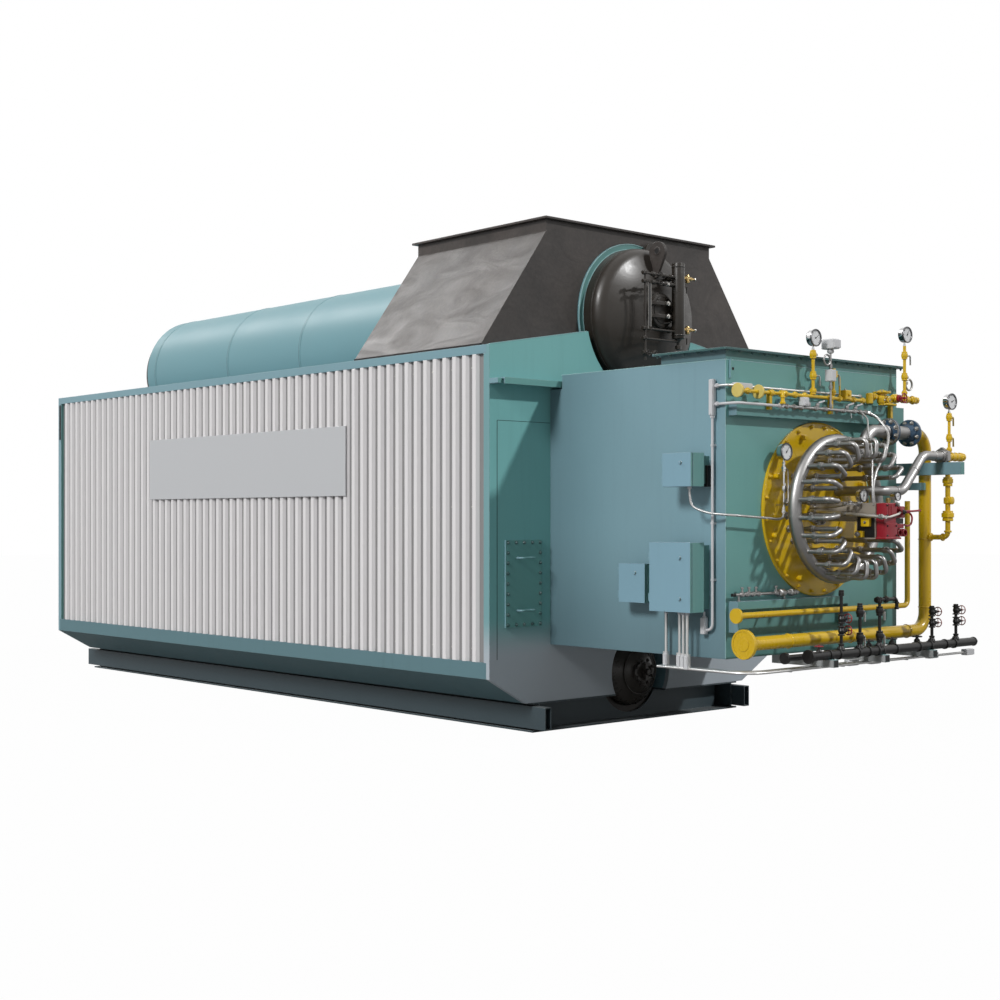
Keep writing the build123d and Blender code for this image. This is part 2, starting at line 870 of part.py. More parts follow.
def steel_line():
    """The steel instrument line in front of the shelves, its transmitter, and the low line."""
    y = face + steel_y
    z = steel_z
    parts = [rod((-578, y, z), (steel_end_x, y, z), 12)]
    parts += [rod((x - 16, y, z), (x + 16, y, z), 24) for x in (-560, -380, -200, 160, 340, 440)]
    parts += [rod((x, y, z), (x, face - shelf_reach, z), 9) for x in (-380, 160)]
    parts += [rod((x, y, z), (x, y, z + 50), 9) for x in (-260, -150, 250, 350)]
    low_y = face - 45
    low_z = shelf_line_z
    low = [rod((-1076, low_y, low_z), (-285, low_y, low_z), 12)]
    low += [rod((x - 20, low_y, low_z), (x + 20, low_y, low_z), 24) for x in (-960, -880, -800, -560, -400)]
    low += [rod((x, low_y, low_z), (x, low_y, low_z + 56), 9) for x in (-960, -880, -800, -560)]
    foot = burner_z - burner_plate_radius - 8 + seat
    low += [rod((x, low_y, foot), (x, low_y, low_z), 9) for x in (-1000, -460)]
    return Compound([joined(parts + [transmitter()]).solid(), joined(low).solid()])


gauge_radius = 68
gauge_drop = 24
small_gauge_radius = 50
small_gauge_drop = 5
side_gauge = (-522, -90, 2262)
side_link_rise = 30
branch_gauge_x = riser_x + 20
branch_gauge_z = 2711
block_gauge = (-30, -443)


def gauge(x, y, z, radius, drop):
    """A dial gauge that faces -Y, with its case, rim and socket."""
    case = rod((x, y - 26, z), (x, y + 26, z), radius - 6)
    rim = rod((x, y - 32, z), (x, y - 22, z), radius)
    socket = rod((x, y, z - radius - drop), (x, y, z - radius + 10), 12)
    return joined([case, rim, socket])


def gauges():
    """The pressure gauges on top of their risers, and the one on the burner's control block."""
    y = face + pilot_y
    branch = ring_y + branch_y
    x, off, z = side_gauge
    stem = joined([
        gauge(x, face + off, z, gauge_radius, gauge_drop),
        rod((x, face + off, burner_z), (x, face + off, z - gauge_radius), 10),
        block(x - 20, x + 20, face + off - 20, face + off + 20, z - 150, z - 100),
        rod((x, face + off, burner_z + side_link_rise), (x, face - burner_plate_t, burner_z + side_link_rise), 8),
    ])
    rise = gauge_radius + gauge_drop + seat
    on_block = gun_z[1] + small_gauge_radius + small_gauge_drop + seat
    parts = [
        gauge(left_riser_x, y, left_riser_top + rise, gauge_radius, gauge_drop),
        gauge(right_riser_x, y, right_riser_top + rise, gauge_radius, gauge_drop),
        gauge(branch_gauge_x, branch, branch_gauge_z, gauge_radius, gauge_drop),
        gauge(block_gauge[0], face + block_gauge[1], on_block, small_gauge_radius, small_gauge_drop),
        stem,
    ]
    return Compound([part.solid() for part in parts])


small_header_y = -156
small_header_z = 1045


def small_header():
    """The small yellow header with its blind flange and riser."""
    y = face + small_header_y
    z = small_header_z
    run = pipe([(-1150, y, z), (1020, y, z), (1020, y, 1900)], 22, 50)
    blind = rod((-1170, y, z), (-1150, y, z), 56)
    feet = [rod((x, y, z), (x, face, z), 11) for x in (-700, 700)]
    return joined([run, blind] + feet)


# Drain lines and their supports

drain_z = 702
small_drain_y = -326
large_drain_y = -436
arm_places_x = (-420, 240, 900)
support_arm_height = 56


large_drain_radius = 34
small_drain_radius = 24


def drain_lines():
    """The two black drain lines under the burner front, with blind flanges at their left ends."""
    parts = []
    for y, left, radius in ((small_drain_y, -800, small_drain_radius), (large_drain_y, -660, large_drain_radius)):
        z = drain_z + radius + seat
        line = rod((left, face + y, z), (1560, face + y, z), radius)
        line += rod((left - 22, face + y, z), (left, face + y, z), radius + 19)
        parts.append(line.solid())
    return Compound(parts)


wheel_radius = 40
lever_length = 74
stacks = (
    (-273, 1217, (910, 1000), False),
    (-35, 1110, (850, 1040), True),
    (222, 1147, (850, 1040), True),
    (944, 1054, (915, 1005), False),
    (1294, 1056, (915, 1005), False),
)
line_valves_x = (239, 550, 900)
side_arm_reach = 230


def handwheel(x, y, z):
    """A handwheel that faces +X: a rim with two spokes and a hub."""
    rim = tube((x, y, z), (x + 9, y, z), wheel_radius, 9)
    bar = wheel_radius - 5
    return joined([rim, block(x, x + 8, y - bar, y + bar, z - 5, z + 5),
                   block(x, x + 8, y - 5, y + 5, z - bar, z + bar),
                   rod((x, y, z), (x + 14, y, z), 10)])


def valve_stack(x, top, heights, levers):
    """An upright drain with two valves, on top of the large drain line."""
    y = face + large_drain_y
    base = drain_z + 2 * large_drain_radius + 2 * seat
    parts = [
        rod((x, y, base), (x, y, top), 14),
        rod((x, y, base), (x, y, base + 44), 26),
        rod((x, y, top - 44), (x, y, top), 22),
    ]
    for z in heights:
        parts.append(rod((x, y, z - 34), (x, y, z + 34), 27))
        parts.append(rod((x, y, z), (x + 62, y, z), 19))
        if levers:
            parts.append(block(x + 60, x + 66, y - 9, y + 9, z - lever_length, z + 12))
        else:
            parts.append(rod((x + 60, y, z), (x + 84, y, z), 6))
            parts.append(handwheel(x + 82, y, z))
    return parts


def drain_valves():
    """The valve stacks on the large drain line and the gate valves on the small one."""
    shapes = []
    for x, top, heights, levers in stacks:
        shapes.append(joined(valve_stack(x, top, heights, levers)))
    x, top = stacks[2][:2]
    y = face + large_drain_y
    arm = pipe([(x, y, top - 20), (x + side_arm_reach, y, top - 20), (x + side_arm_reach, y, top - 100)], 15, 30)
    shapes[2] = shapes[2] + arm
    y = face + small_drain_y
    low = drain_z + 2 * small_drain_radius + 2 * seat
    for x in line_valves_x:
        shapes.append(joined([
            rod((x, y, low), (x, y, low + 60), 24),
            rod((x, y, low + 50), (x, y, low + 62), 44),
            rod((x - 34, y, low + 24), (x + 34, y, low + 24), 20),
        ]))
    return Compound([shape.solid() for shape in shapes])


def support_arms():
    """The channel arms under the drain lines, hung from the windbox's floor."""
    low = drain_z - support_arm_height
    arms = []
    for x in arm_places_x:
        arm = block(x - 30, x + 30, face + large_drain_y - 60, face + 80, low, drain_z)
        arm += block(x - 30, x + 30, face, face + 80, drain_z, windbox_foot_z)
        arms.append(arm.solid())
    return Compound(arms)


# Electrical cabinets on the windbox's left side

class Cabinet:
    """A box on brackets with a hinged door that faces -X."""

    def __init__(self, y_hinge, y_latch, z_low, z_high, depth, latches):
        self.y = (front - y_hinge, front - y_latch)
        self.z = (z_low, z_high)
        self.depth = depth
        self.latches = latches
        self.back = -windbox_half_width - cabinet_standoff
        self.mouth = self.back - depth + door_t + door_gap
        self.axis = (self.mouth - hinge_radius - 1, self.y[0] - hinge_radius)

    def body(self):
        y1, y0 = self.y
        z0, z1 = self.z
        t = cabinet_wall
        box = block(self.mouth, self.back, y0, y1, z0, z1)
        box -= block(self.mouth - 1, self.back - t, y0 + t, y1 - t, z0 + t, z1 - t)
        middle = (y0 + y1) / 2
        reach = (y1 - y0) / 2 - 40
        for side in (-1, 1):
            foot = middle + side * reach
            box += block(self.back, -windbox_half_width, foot - 20, foot + 20, z0 + 20, z1 - 20)
        return joined([box] + self.hinges())

    def hinge_heights(self):
        z0, z1 = self.z
        inset = (z1 - z0) * 0.2
        return (z0 + inset, z1 - inset)

    def hinges(self):
        """Fixed knuckles and pins on the body's rear edge."""
        x, y = self.axis
        parts = []
        for z in self.hinge_heights():
            reach = knuckle_height / 2 + pin_play
            pin = rod((x, y, z - reach - 2), (x, y, z + reach + 2), hinge_pin)
            parts.append(pin)
            for low in (z - reach - fixed_knuckle, z + reach):
                parts.append(rod((x, y, low), (x, y, low + fixed_knuckle), hinge_radius))
                parts.append(block(x, self.mouth + 2, y, self.y[0], low, low + fixed_knuckle))
        return parts

    def door(self):
        """The door panel with its folded rim, knuckles and latches."""
        y1, y0 = self.y
        z0, z1 = self.z
        inner = self.mouth - door_gap
        outer = inner - door_t
        edge = y1 - hinge_edge
        panel = block(outer, inner, y0, edge, z0, z1)
        panel -= block(outer + door_skin, inner + 1, y0 + door_skin, edge - door_skin,
                       z0 + door_skin, z1 - door_skin)
        for z in self.latches:
            panel += rod((outer, y0 + latch_inset, z), (outer - 14, y0 + latch_inset, z), latch_radius)
        x, y = self.axis
        half = knuckle_height / 2
        for z in self.hinge_heights():
            knuckle = rod((x, y, z - half), (x, y, z + half), hinge_radius)
            knuckle += block(x - 3, x + 3, edge - 1, y, z - half, z + half)
            panel += knuckle
            panel -= rod((x, y, z - half - 1), (x, y, z + half + 1), hinge_pin + pin_play)
        return panel


main_cabinet = Cabinet(1308, 1737, 1060, 1578, 155, (1160, 1464))
upper_cabinet = Cabinet(1432, 1737, 1993, 2243, 147, (2170,))
small_cabinet = Cabinet(915, 1211, 1110, 1410, 77, (1340,))


# Conduits

conduit_radius = 10
conduit_pitch = 26
high_conduit_z = 2740
conduit_z = drain_z - support_arm_height - conduit_radius - seat
conduit_out = 60
conduit_sweep = 200
conduit_off = 250
conduit_ends_x = (170, 430, 1200, 1720)
conduit_body = 55
upright_places_y = (1340, 1500, 1560, 1620)


def conduits_front():
    """The conduit bundle that sweeps round under the windbox, with a conduit body near each end."""
    x = -windbox_half_width - conduit_out
    y = face - conduit_off
    z = conduit_z
    parts = []
    for n, end in enumerate(conduit_ends_x):
        shift = conduit_pitch * n
        points = [(x - shift, front - 1320, z), (x - shift, y - shift, z), (end, y - shift, z)]
        run = pipe(points, conduit_radius, conduit_sweep)
        middle = end - conduit_body - 10
        body = block(middle - conduit_body, middle + conduit_body, y - shift - 12, y - shift + 12, z - 22, z + 9)
        parts.append((run + body).solid())
    return Compound(parts)


def conduits_side():
    """The upright conduits from the main cabinet down to their conduit bodies."""
    parts = []
    x = -windbox_half_width - conduit_out
    top = main_cabinet.z[0]
    low = conduit_z + conduit_radius + seat
    for n, y in enumerate(upright_places_y):
        shift = conduit_pitch * n
        column = rod((x - shift, front - y, low + 80), (x - shift, front - y, top), 12)
        column += block(x - shift - 12, x - shift + 12, front - y - 22, front - y + 22, low, low + 100)
        parts.append(column.solid())
    return Compound(parts)


def conduit_corner():
    """The tall upright conduit at the windbox's corner with its conduit body and clips."""
    x = -windbox_half_width - 30
    y = face + 50
    parts = [
        rod((x, y, 1020), (x, y, 2640), 12),
        block(x - 20, x + 20, y - 20, y + 20, 2520, 2790),
        block(x - 20, x + 20, y - 20, y + 20, 960, 1080),
    ]
    parts += [block(x - 16, -windbox_half_width, y - 10, y + 10, z - 8, z + 8) for z in (1300, 2300)]
    foot = pipe([(x, y, 1000), (x, y, 905), (x, y + 60, 905)], 12, 30)
    high = pipe([(x, y, high_conduit_z), (x, face - 40, high_conduit_z), (540, face - 40, high_conduit_z)],
                conduit_radius, 30)
    end_y = face + steel_y
    low = pipe([(x, y, steel_z), (x, end_y, steel_z), (-578 - seat, end_y, steel_z)], conduit_radius, 60)
    return joined(parts + [foot, high, low])


def hose(points, radius):
    """A flexible line held at both ends. Distances in Y are measured forward from the front wall."""
    return pipe([(x, front - y, z) for x, y, z in points], radius, hose_bend)


hose_bend = 28
flex_radius = 9
flex_drop = (-1250, 1660)
flex_points = [(-1248, 1662, 1850), (-1172, 1850, 1800), (-1140, 1945, 1782), (-1050, 1974, 1770),
               (-800, 1976, 1758), (-522, 1964, 1750)]


def flexible_conduit():
    """The flexible conduit from the upper cabinet round the windbox's corner to the side gauge's stem."""
    x, off, z = side_gauge
    start = (*flex_drop, upper_cabinet.z[0] - seat)
    end = (x, front - face - off, burner_z - seat)
    return hose([start] + flex_points + [end], flex_radius)


thick_hose = 11
thin_hose = 7
thick_points = [(520, 2180, 2530), (120, 2470, 2330), (-20, 2490, 2100), (30, 2385, 2020)]
thin_points = [(300, 2160, 2590), (0, 2425, 2400), (-85, 2450, 2200), (0, 2402, 2030)]
hose_lead = 100
thin_tee_x = 390


def burner_hoses():
    """The two flexible hoses from the steel line over the injectors to the burner's control block."""
    line = front - face - steel_y
    top = gun_z[1] + seat
    side_lead = [(x, line, steel_z) for x in (steel_end_x + seat, steel_end_x + hose_lead)]
    front_lead = [(thin_tee_x, y, steel_z) for y in (line + 12 + seat, line + hose_lead)]
    thick = side_lead + thick_points + [(30, 2385, top)]
    thin = front_lead + thin_points + [(0, 2402, top)]
    return Compound([hose(thick, thick_hose).solid(), hose(thin, thin_hose).solid()])


# Every node and its shape

nodes = {
    "skid_beam_right": skid_beam(),
    "skid_beam_left": mirrored(skid_beam()),
    "casing_body": casing_body(),
    "skirt_right": skirt(),
    "skirt_left": mirrored(skirt()),
    "side_cladding_right": cladding(),
    "side_cladding_left": mirrored(cladding()),
    "roof_right": roof(),
    "roof_left": mirrored(roof()),
    "front_wall": end_wall(),
    "rear_wall": turned(end_wall()),
    "front_ledge": ledge(),
    "access_plate": access_plate(),
    "side_board": side_board(),
    "drum_lagging": drum_lagging(),
    "steam_drum": steam_drum(),
    "steam_drum_head_front": steam_head(),
    "steam_drum_head_rear": turned(steam_head()),
    "mud_drum": mud_drum(),
    "mud_drum_head_front": mud_head(),
    "mud_drum_head_rear": turned(mud_head()),
    "drum_lifting_lug": lifting_lug(),
    "water_column": water_column(),
    "gauge_cocks": gauge_cocks(),
    "flue_hood": flue_hood(),
    "flue_flange": flue_flange(),
    "windbox": windbox(),
    "air_inlet": air_inlet(),
    "burner_plate": burner_plate(),
    "gas_ring": gas_ring(),
    "gas_injectors": gas_injectors(),
    "burner_gun": burner_gun(),
    "burner_actuator": burner_actuator(),
    "gas_header": gas_header(),
    "gas_riser": gas_riser(),
    "gas_spool": gas_spool(),
    "branch_riser": branch_riser(),
    "bend_pipe": bend_pipe(),
    "bracket_arm": bracket_arm(),
    "front_shelves": shelves(),
    "pilot_gas_line": pilot_line(),
    "steel_line": steel_line(),
    "pressure_gauges": gauges(),
    "small_header": small_header(),
    "burner_hoses": burner_hoses(),
    "drain_lines": drain_lines(),
    "drain_valves": drain_valves(),
    "support_arms": support_arms(),
    "main_cabinet": main_cabinet.body(),
    "main_cabinet_door": main_cabinet.door(),
    "upper_cabinet": upper_cabinet.body(),
    "upper_cabinet_door": upper_cabinet.door(),
    "small_cabinet": small_cabinet.body(),
    "small_cabinet_door": small_cabinet.door(),
    "conduits_front": conduits_front(),
    "conduits_side": conduits_side(),
    "conduit_corner": Compound([conduit_corner().solid(), flexible_conduit().solid()]),
}

inner_members = 3
member_step = skid_length / (inner_members + 1)
end_member = skid_length / 2 - beam_flange / 2
end_web = end_member - beam_flange / 2 + cross_web_t / 2
nodes["cross_member_front"] = cross_member(-end_member, mud_opening_radius, -end_web)
nodes["cross_member_rear"] = cross_member(end_member, mud_opening_radius, end_web)
places = [front + member_step * (n + 1) for n in range(inner_members)]
nodes["cross_members_inner"] = Compound(
    [cross_member(place, mud_drum_radius + seat, place).solid() for place in places]
)

os.makedirs("parts", exist_ok=True)
for name, shape in nodes.items():
    export_step(shape, f"parts/{name}.step")
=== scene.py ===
import bpy
import json
import math
import numpy as np
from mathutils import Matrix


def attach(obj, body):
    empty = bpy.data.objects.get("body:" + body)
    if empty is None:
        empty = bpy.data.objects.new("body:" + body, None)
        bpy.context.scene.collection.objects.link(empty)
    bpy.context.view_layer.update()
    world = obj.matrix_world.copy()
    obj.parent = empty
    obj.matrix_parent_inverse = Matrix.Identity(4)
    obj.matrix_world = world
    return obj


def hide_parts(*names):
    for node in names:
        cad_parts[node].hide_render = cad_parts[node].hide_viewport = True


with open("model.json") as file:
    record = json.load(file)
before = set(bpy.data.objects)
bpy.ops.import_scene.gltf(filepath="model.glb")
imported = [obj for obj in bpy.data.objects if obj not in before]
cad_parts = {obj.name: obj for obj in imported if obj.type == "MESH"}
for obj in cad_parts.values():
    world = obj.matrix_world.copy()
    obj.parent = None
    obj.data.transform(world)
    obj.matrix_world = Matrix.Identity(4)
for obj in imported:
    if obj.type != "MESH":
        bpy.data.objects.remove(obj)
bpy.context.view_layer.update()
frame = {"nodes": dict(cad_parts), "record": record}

# Packaged watertube boiler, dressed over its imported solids. Metres, +Z up, the burner front faces -Y.
nodes = frame["nodes"]
print("stage: frame loaded,", len(nodes), "nodes")


# mesh helpers: every shape is a pair (points, faces) of whole arrays

def gridFaces(rows, cols, closeRows=False, closeCols=False):
    # quads between neighbouring points of a rows x cols grid, wrapping where it is closed
    i = np.arange(rows if closeRows else rows - 1)
    j = np.arange(cols if closeCols else cols - 1)
    i, j = np.meshgrid(i, j, indexing="ij")
    a = i * cols + j
    b = i * cols + (j + 1) % cols
    c = ((i + 1) % rows) * cols + (j + 1) % cols
    d = ((i + 1) % rows) * cols + j
    return np.stack([a, b, c, d], axis=-1).reshape(-1, 4)


def merged(shells):
    # several shells as one: their points stacked and their face numbers shifted
    points, faces, start = [], [], 0
    for p, f in shells:
        points.append(p)
        faces += [block + start for block in f]
        start += len(p)
    return np.concatenate(points), faces


def unit(vectors):
    # each row divided by its length
    vectors = np.array(vectors, float)
    return vectors / np.linalg.norm(vectors, axis=-1, keepdims=True)


def turnedTo(shell, origin=(0, 0, 0), along=(0, 0, 1), side=None):
    # the shell's own z axis laid along a direction, its x axis towards side, then moved to origin
    z = unit(along)
    x = np.array(side if side is not None else ((1, 0, 0) if abs(z[0]) < 0.9 else (0, 1, 0)), float)
    x = unit(x - z * (x @ z))
    return shell[0] @ np.stack([x, np.cross(z, x), z]) + np.array(origin, float), shell[1]


def caps(rows, count):
    # a face over the first row of a grid and one over its last, both turned outward
    return [np.arange(count)[::-1][None], ((rows - 1) * count + np.arange(count))[None]]


def spun(profile, sides):
    # (radius, height) pairs carried round the z axis: x = r cos a, y = r sin a, z = height
    profile = np.array(profile, float)
    angle = np.linspace(0, 2 * math.pi, sides, endpoint=False)
    r = profile[:, :1]
    z = np.repeat(profile[:, 1:], sides, axis=1)
    return np.stack([r * np.cos(angle), r * np.sin(angle), z], axis=-1).reshape(-1, 3)


def lathe(profile, sides=24):
    # a solid of revolution: both ends of its profile are closed with a disc
    return spun(profile, sides), [gridFaces(len(profile), sides, closeCols=True)] + caps(len(profile), sides)


def ringBand(profile, sides=32):
    # a closed profile carried round the z axis, as a ring with a hole
    return spun(profile, sides), [gridFaces(len(profile), sides, closeRows=True, closeCols=True)]


def collar(inner, outer, low, high, sides):
    # a flat ring between two radii and two heights
    return ringBand([(inner, low), (outer, low), (outer, high), (inner, high)], sides)


def prism(outline, height, bevel=0.0):
    # an outline carried up a height; its first and last rows are drawn in by the bevel
    outline = np.array(outline, float)
    count = len(outline)
    edgeA = unit(outline - np.roll(outline, 1, axis=0))
    edgeB = unit(np.roll(outline, -1, axis=0) - outline)
    normalA, normalB = [np.stack([-edge[:, 1], edge[:, 0]], axis=1) for edge in (edgeA, edgeB)]
    small = outline + (normalA + normalB) / (1 + (normalA * normalB).sum(axis=1))[:, None] * bevel
    rows = [(outline, 0), (outline, height)]
    if bevel > 0:
        rows = [(small, 0), (outline, bevel), (outline, height - bevel), (small, height)]
    points = np.concatenate([np.column_stack([o, np.full(count, z)]) for o, z in rows])
    return points, [gridFaces(len(rows), count, closeCols=True)] + caps(len(rows), count)


def roundedOutline(width, depth, radius=0.0, steps=4):
    # a rectangle about the origin whose corners are quarter circles of the radius
    if radius <= 0:
        return np.array([(-width, -depth), (width, -depth), (width, depth), (-width, depth)]) / 2
    corners = [(1, 1, 0), (-1, 1, 90), (-1, -1, 180), (1, -1, 270)]
    rows = []
    for sx, sy, start in corners:
        angle = np.radians(np.linspace(start, start + 90, steps))
        rows.append(np.column_stack([sx * (width / 2 - radius) + radius * np.cos(angle), sy * (depth / 2 - radius)
                                     + radius * np.sin(angle)]))
    return np.concatenate(rows)


def slab(low, high, bevel=0.002, radius=0.0):
    # a box between two corners with its edges taken off
    low, high = np.array(low, float), np.array(high, float)
    size = high - low
    shell = prism(roundedOutline(size[0], size[1], radius), size[2], bevel)
    return shell[0] + np.array([(low[0] + high[0]) / 2, (low[1] + high[1]) / 2, low[2]]), shell[1]


def hexOutline(across, sides=6):
    # a regular polygon by its width across flats
    angle = 2 * math.pi * (np.arange(sides) + 0.5) / sides
    reach = across / 2 / math.cos(math.pi / sides)
    return np.column_stack([reach * np.cos(angle), reach * np.sin(angle)])


def roundPath(points, bend, steps=7):
    # a polyline whose inner corners are swapped for arcs of the bend radius, tangent to both runs
    points = np.array(points, float)
    path = [points[0]]
    for before, corner, after in zip(points, points[1:], points[2:]):
        a, b = unit(before - corner), unit(after - corner)
        half = math.acos(max(-1, min(1, a @ b))) / 2
        back = bend / math.tan(half)
        centre = corner + unit(a + b) * bend / math.sin(half)
        start, end = corner + a * back - centre, corner + b * back - centre
        sweep = math.pi - 2 * half
        t = np.linspace(0, 1, steps)[:, None]
        path += list(centre + (np.sin((1 - t) * sweep) * start + np.sin(t * sweep) * end) / math.sin(sweep))
    return np.array(path + [points[-1]])


def smoothPath(points, steps=64):
    # a Catmull-Rom curve through the points
    p = np.array(points, float)
    p = np.concatenate([2 * p[:1] - p[1:2], p, 2 * p[-1:] - p[-2:-1]])
    t = np.linspace(0, len(p) - 3 - 1e-6, steps)
    k = t.astype(int)
    f = (t - k)[:, None]
    a, b, c, d = p[k], p[k + 1], p[k + 2], p[k + 3]
    return 0.5 * (2 * b + (c - a) * f + (2 * a - 5 * b + 4 * c - d) * f**2 + (3 * b - a - 3 * c + d) * f**3)


def tubeAlong(path, radius, sides=16, ripple=None):
    # a circle carried along a path on a frame that doesn't twist; ripple scales the radius row by row
    path = np.array(path, float)
    tangent = unit(np.gradient(path, axis=0))
    side = np.cross(tangent[0], (0, 0, 1) if abs(tangent[0][2]) < 0.9 else (1, 0, 0))
    across = []
    for t in tangent:
        side = unit(side - t * (side @ t))
        across.append(side)
    across = np.array(across)
    up = np.cross(tangent, across)
    angle = np.linspace(0, 2 * math.pi, sides, endpoint=False)
    size = radius * (np.ones(len(path)) if ripple is None else ripple)
    ring = across[:, None] * np.cos(angle)[None, :, None] + up[:, None] * np.sin(angle)[None, :, None]
    points = (path[:, None] + ring * size[:, None, None]).reshape(-1, 3)
    return points, [gridFaces(len(path), sides, closeCols=True)] + caps(len(path), sides)


def strip(path, width, thick, across=(0, 1, 0)):
    # a flat bar bent along a path, its width laid along across
    path = np.array(path, float)
    tangent = unit(np.gradient(path, axis=0))
    wide = unit(across - tangent * (tangent @ np.array(across, float))[:, None])
    high = np.cross(tangent, wide)
    corners = np.array([(-1, -1), (1, -1), (1, 1), (-1, 1)]) / 2
    points = (path[:, None] + wide[:, None] * (corners[:, 0] * width)[None, :, None]
              + high[:, None] * (corners[:, 1] * thick)[None, :, None]).reshape(-1, 3)
    return points, [gridFaces(len(path), 4, closeCols=True)] + caps(len(path), 4)


def putPiece(name, shells, finish, slotName, body="boiler", replaced=None):
    # one mesh object at the origin from a list of shells
    points, faces = merged(shells)
    mesh = bpy.data.meshes.new(name)
    mesh.from_pydata(points.tolist(), [], [tuple(f) for block in faces for f in block.tolist()])
    mesh.materials.append(finishes[finish])
    mesh.validate()
    mesh.shade_smooth()
    mesh.set_sharp_from_angle(angle=math.radians(35))
    piece = bpy.data.objects.new(name, mesh)
    bpy.context.scene.collection.objects.link(piece)
    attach(piece, body)
    if replaced:
        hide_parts(replaced)


def putPieces(*rows):
    for row in rows:
        putPiece(*row)


def placed(*rows):
    # each row is a shell, its place, and where it isn't upright the way it points and the way its x axis faces
    return [turnedTo(*row) for row in rows]


toFront, toRear, toRight, toLeft, toDown = (0, -1, 0), (0, 1, 0), (1, 0, 0), (-1, 0, 0), (0, 0, -1)


# shader effects that several finishes share

def newGroup(name, inputs, outputs):
    group = bpy.data.node_groups.new(name, "ShaderNodeTree")
    for label, kind, value in inputs:
        socket = group.interface.new_socket(label, in_out="INPUT", socket_type="NodeSocket" + kind)
        socket.default_value = value
    for label, kind in outputs:
        group.interface.new_socket(label, in_out="OUTPUT", socket_type="NodeSocket" + kind)
    return group


def fill(tree, node, sockets, result=None):
    # links or sets a node's sockets
    for key, value in sockets.items():
        if isinstance(value, bpy.types.NodeSocket):
            tree.links.new(value, node.inputs[key])
        else:
            node.inputs[key].default_value = value
    return result


def add(tree, kind, settings=(), sockets=()):
    node = tree.nodes.new("ShaderNode" + kind) if not kind.startswith("Node") else tree.nodes.new(kind)
    for key, value in dict(settings).items():
        setattr(node, key, value)
    fill(tree, node, dict(sockets))
    return node


def maths(tree, operation, a, b=0.0, c=0.0, clamp=False):
    node = add(tree, "Math", {"operation": operation, "use_clamp": clamp}, {0: a, 1: b, 2: c})
    return node.outputs[0]


def mixColours(tree, factor, a, b):
    return add(tree, "Mix", {"data_type": "RGBA"}, {"Factor": factor, 6: a, 7: b}).outputs[2]


def cloudNoise(tree, scale, detail=2.0, rough=0.5, stretch=(1, 1, 1), swirl=0.0):
    # fractal noise on object coordinates, stretched by a scale for each axis
    here = add(tree, "TexCoord").outputs["Object"]
    where = add(tree, "Mapping", sockets={"Vector": here, "Scale": stretch}).outputs["Vector"]
    return add(tree, "TexNoise", sockets={"Vector": where, "Scale": scale, "Detail": detail, "Roughness": rough,
                                          "Distortion": swirl}).outputs["Fac"]


def axisOf(tree, kind, output, axis):
    # one coordinate of an input node's vector
    return add(tree, "SeparateXYZ", sockets={0: add(tree, kind).outputs[output]}).outputs[axis]


def scaled(tree, colour, factor):
    return add(tree, "VectorMath", {"operation": "SCALE"}, {0: colour, "Scale": factor}).outputs[0]


def bump(tree, strength, distance, height, before=None):
    sockets = {"Strength": strength, "Distance": distance, "Height": height}
    return add(tree, "Bump", sockets=sockets if before is None else {**sockets, "Normal": before}).outputs[0]


def groupOutputs(group, sockets):
    add(group, "NodeGroupOutput", sockets=sockets)
    return group


def buildPaintTone():
    # cloudy tone, dust on what faces up and dark runs drawn out along the height
    group = newGroup("paintTone", [
        ("Colour", "Color", (0.5, 0.5, 0.5, 1)), ("Dust Colour", "Color", (0.45, 0.43, 0.4, 1)),
        ("Clouds", "Float", 0.08), ("Dust", "Float", 0.2), ("Streaks", "Float", 0.1), ("Rough", "Float", 0.4),
    ], [("Colour", "Color"), ("Rough", "Float"), ("Height", "Float")])
    inside = add(group, "NodeGroupInput").outputs
    big = cloudNoise(group, 1.6, 4.0, 0.55, (1.1, 1.1, 0.8))
    small = cloudNoise(group, 34.0, 3.0)
    run = cloudNoise(group, 1.5, 5.0, 0.6, (9, 9, 0.45))
    cloud = maths(group, "MULTIPLY_ADD", big, 0.7, maths(group, "MULTIPLY", small, 0.3))
    uneven = maths(group, "SUBTRACT", cloud, 0.5)
    tone = scaled(group, inside["Colour"],
                  maths(group, "MULTIPLY_ADD", maths(group, "MULTIPLY", uneven, inside["Clouds"]), 2.0, 1.0))
    lying = maths(group, "POWER", maths(group, "MAXIMUM", axisOf(group, "NewGeometry", "Normal", "Z"), 0.0), 3.0)
    dusty = maths(group, "MULTIPLY", maths(group, "MULTIPLY", lying, inside["Dust"]),
                  maths(group, "MULTIPLY_ADD", small, 0.8, 0.6), clamp=True)
    wet = maths(group, "MULTIPLY", maths(group, "SUBTRACT", run, 0.55, clamp=True), 4.0, clamp=True)
    runMask = maths(group, "MULTIPLY", wet, inside["Streaks"], clamp=True)
    dark = mixColours(group, runMask, tone, (0.02, 0.022, 0.022, 1))
    rough = maths(group, "ADD", inside["Rough"], maths(group, "MULTIPLY_ADD", dusty, 0.4,
                                                       maths(group, "MULTIPLY", uneven, 0.25)), clamp=True)
    return groupOutputs(group, {"Colour": mixColours(group, dusty, dark, inside["Dust Colour"]), "Rough": rough,
                                "Height": small})


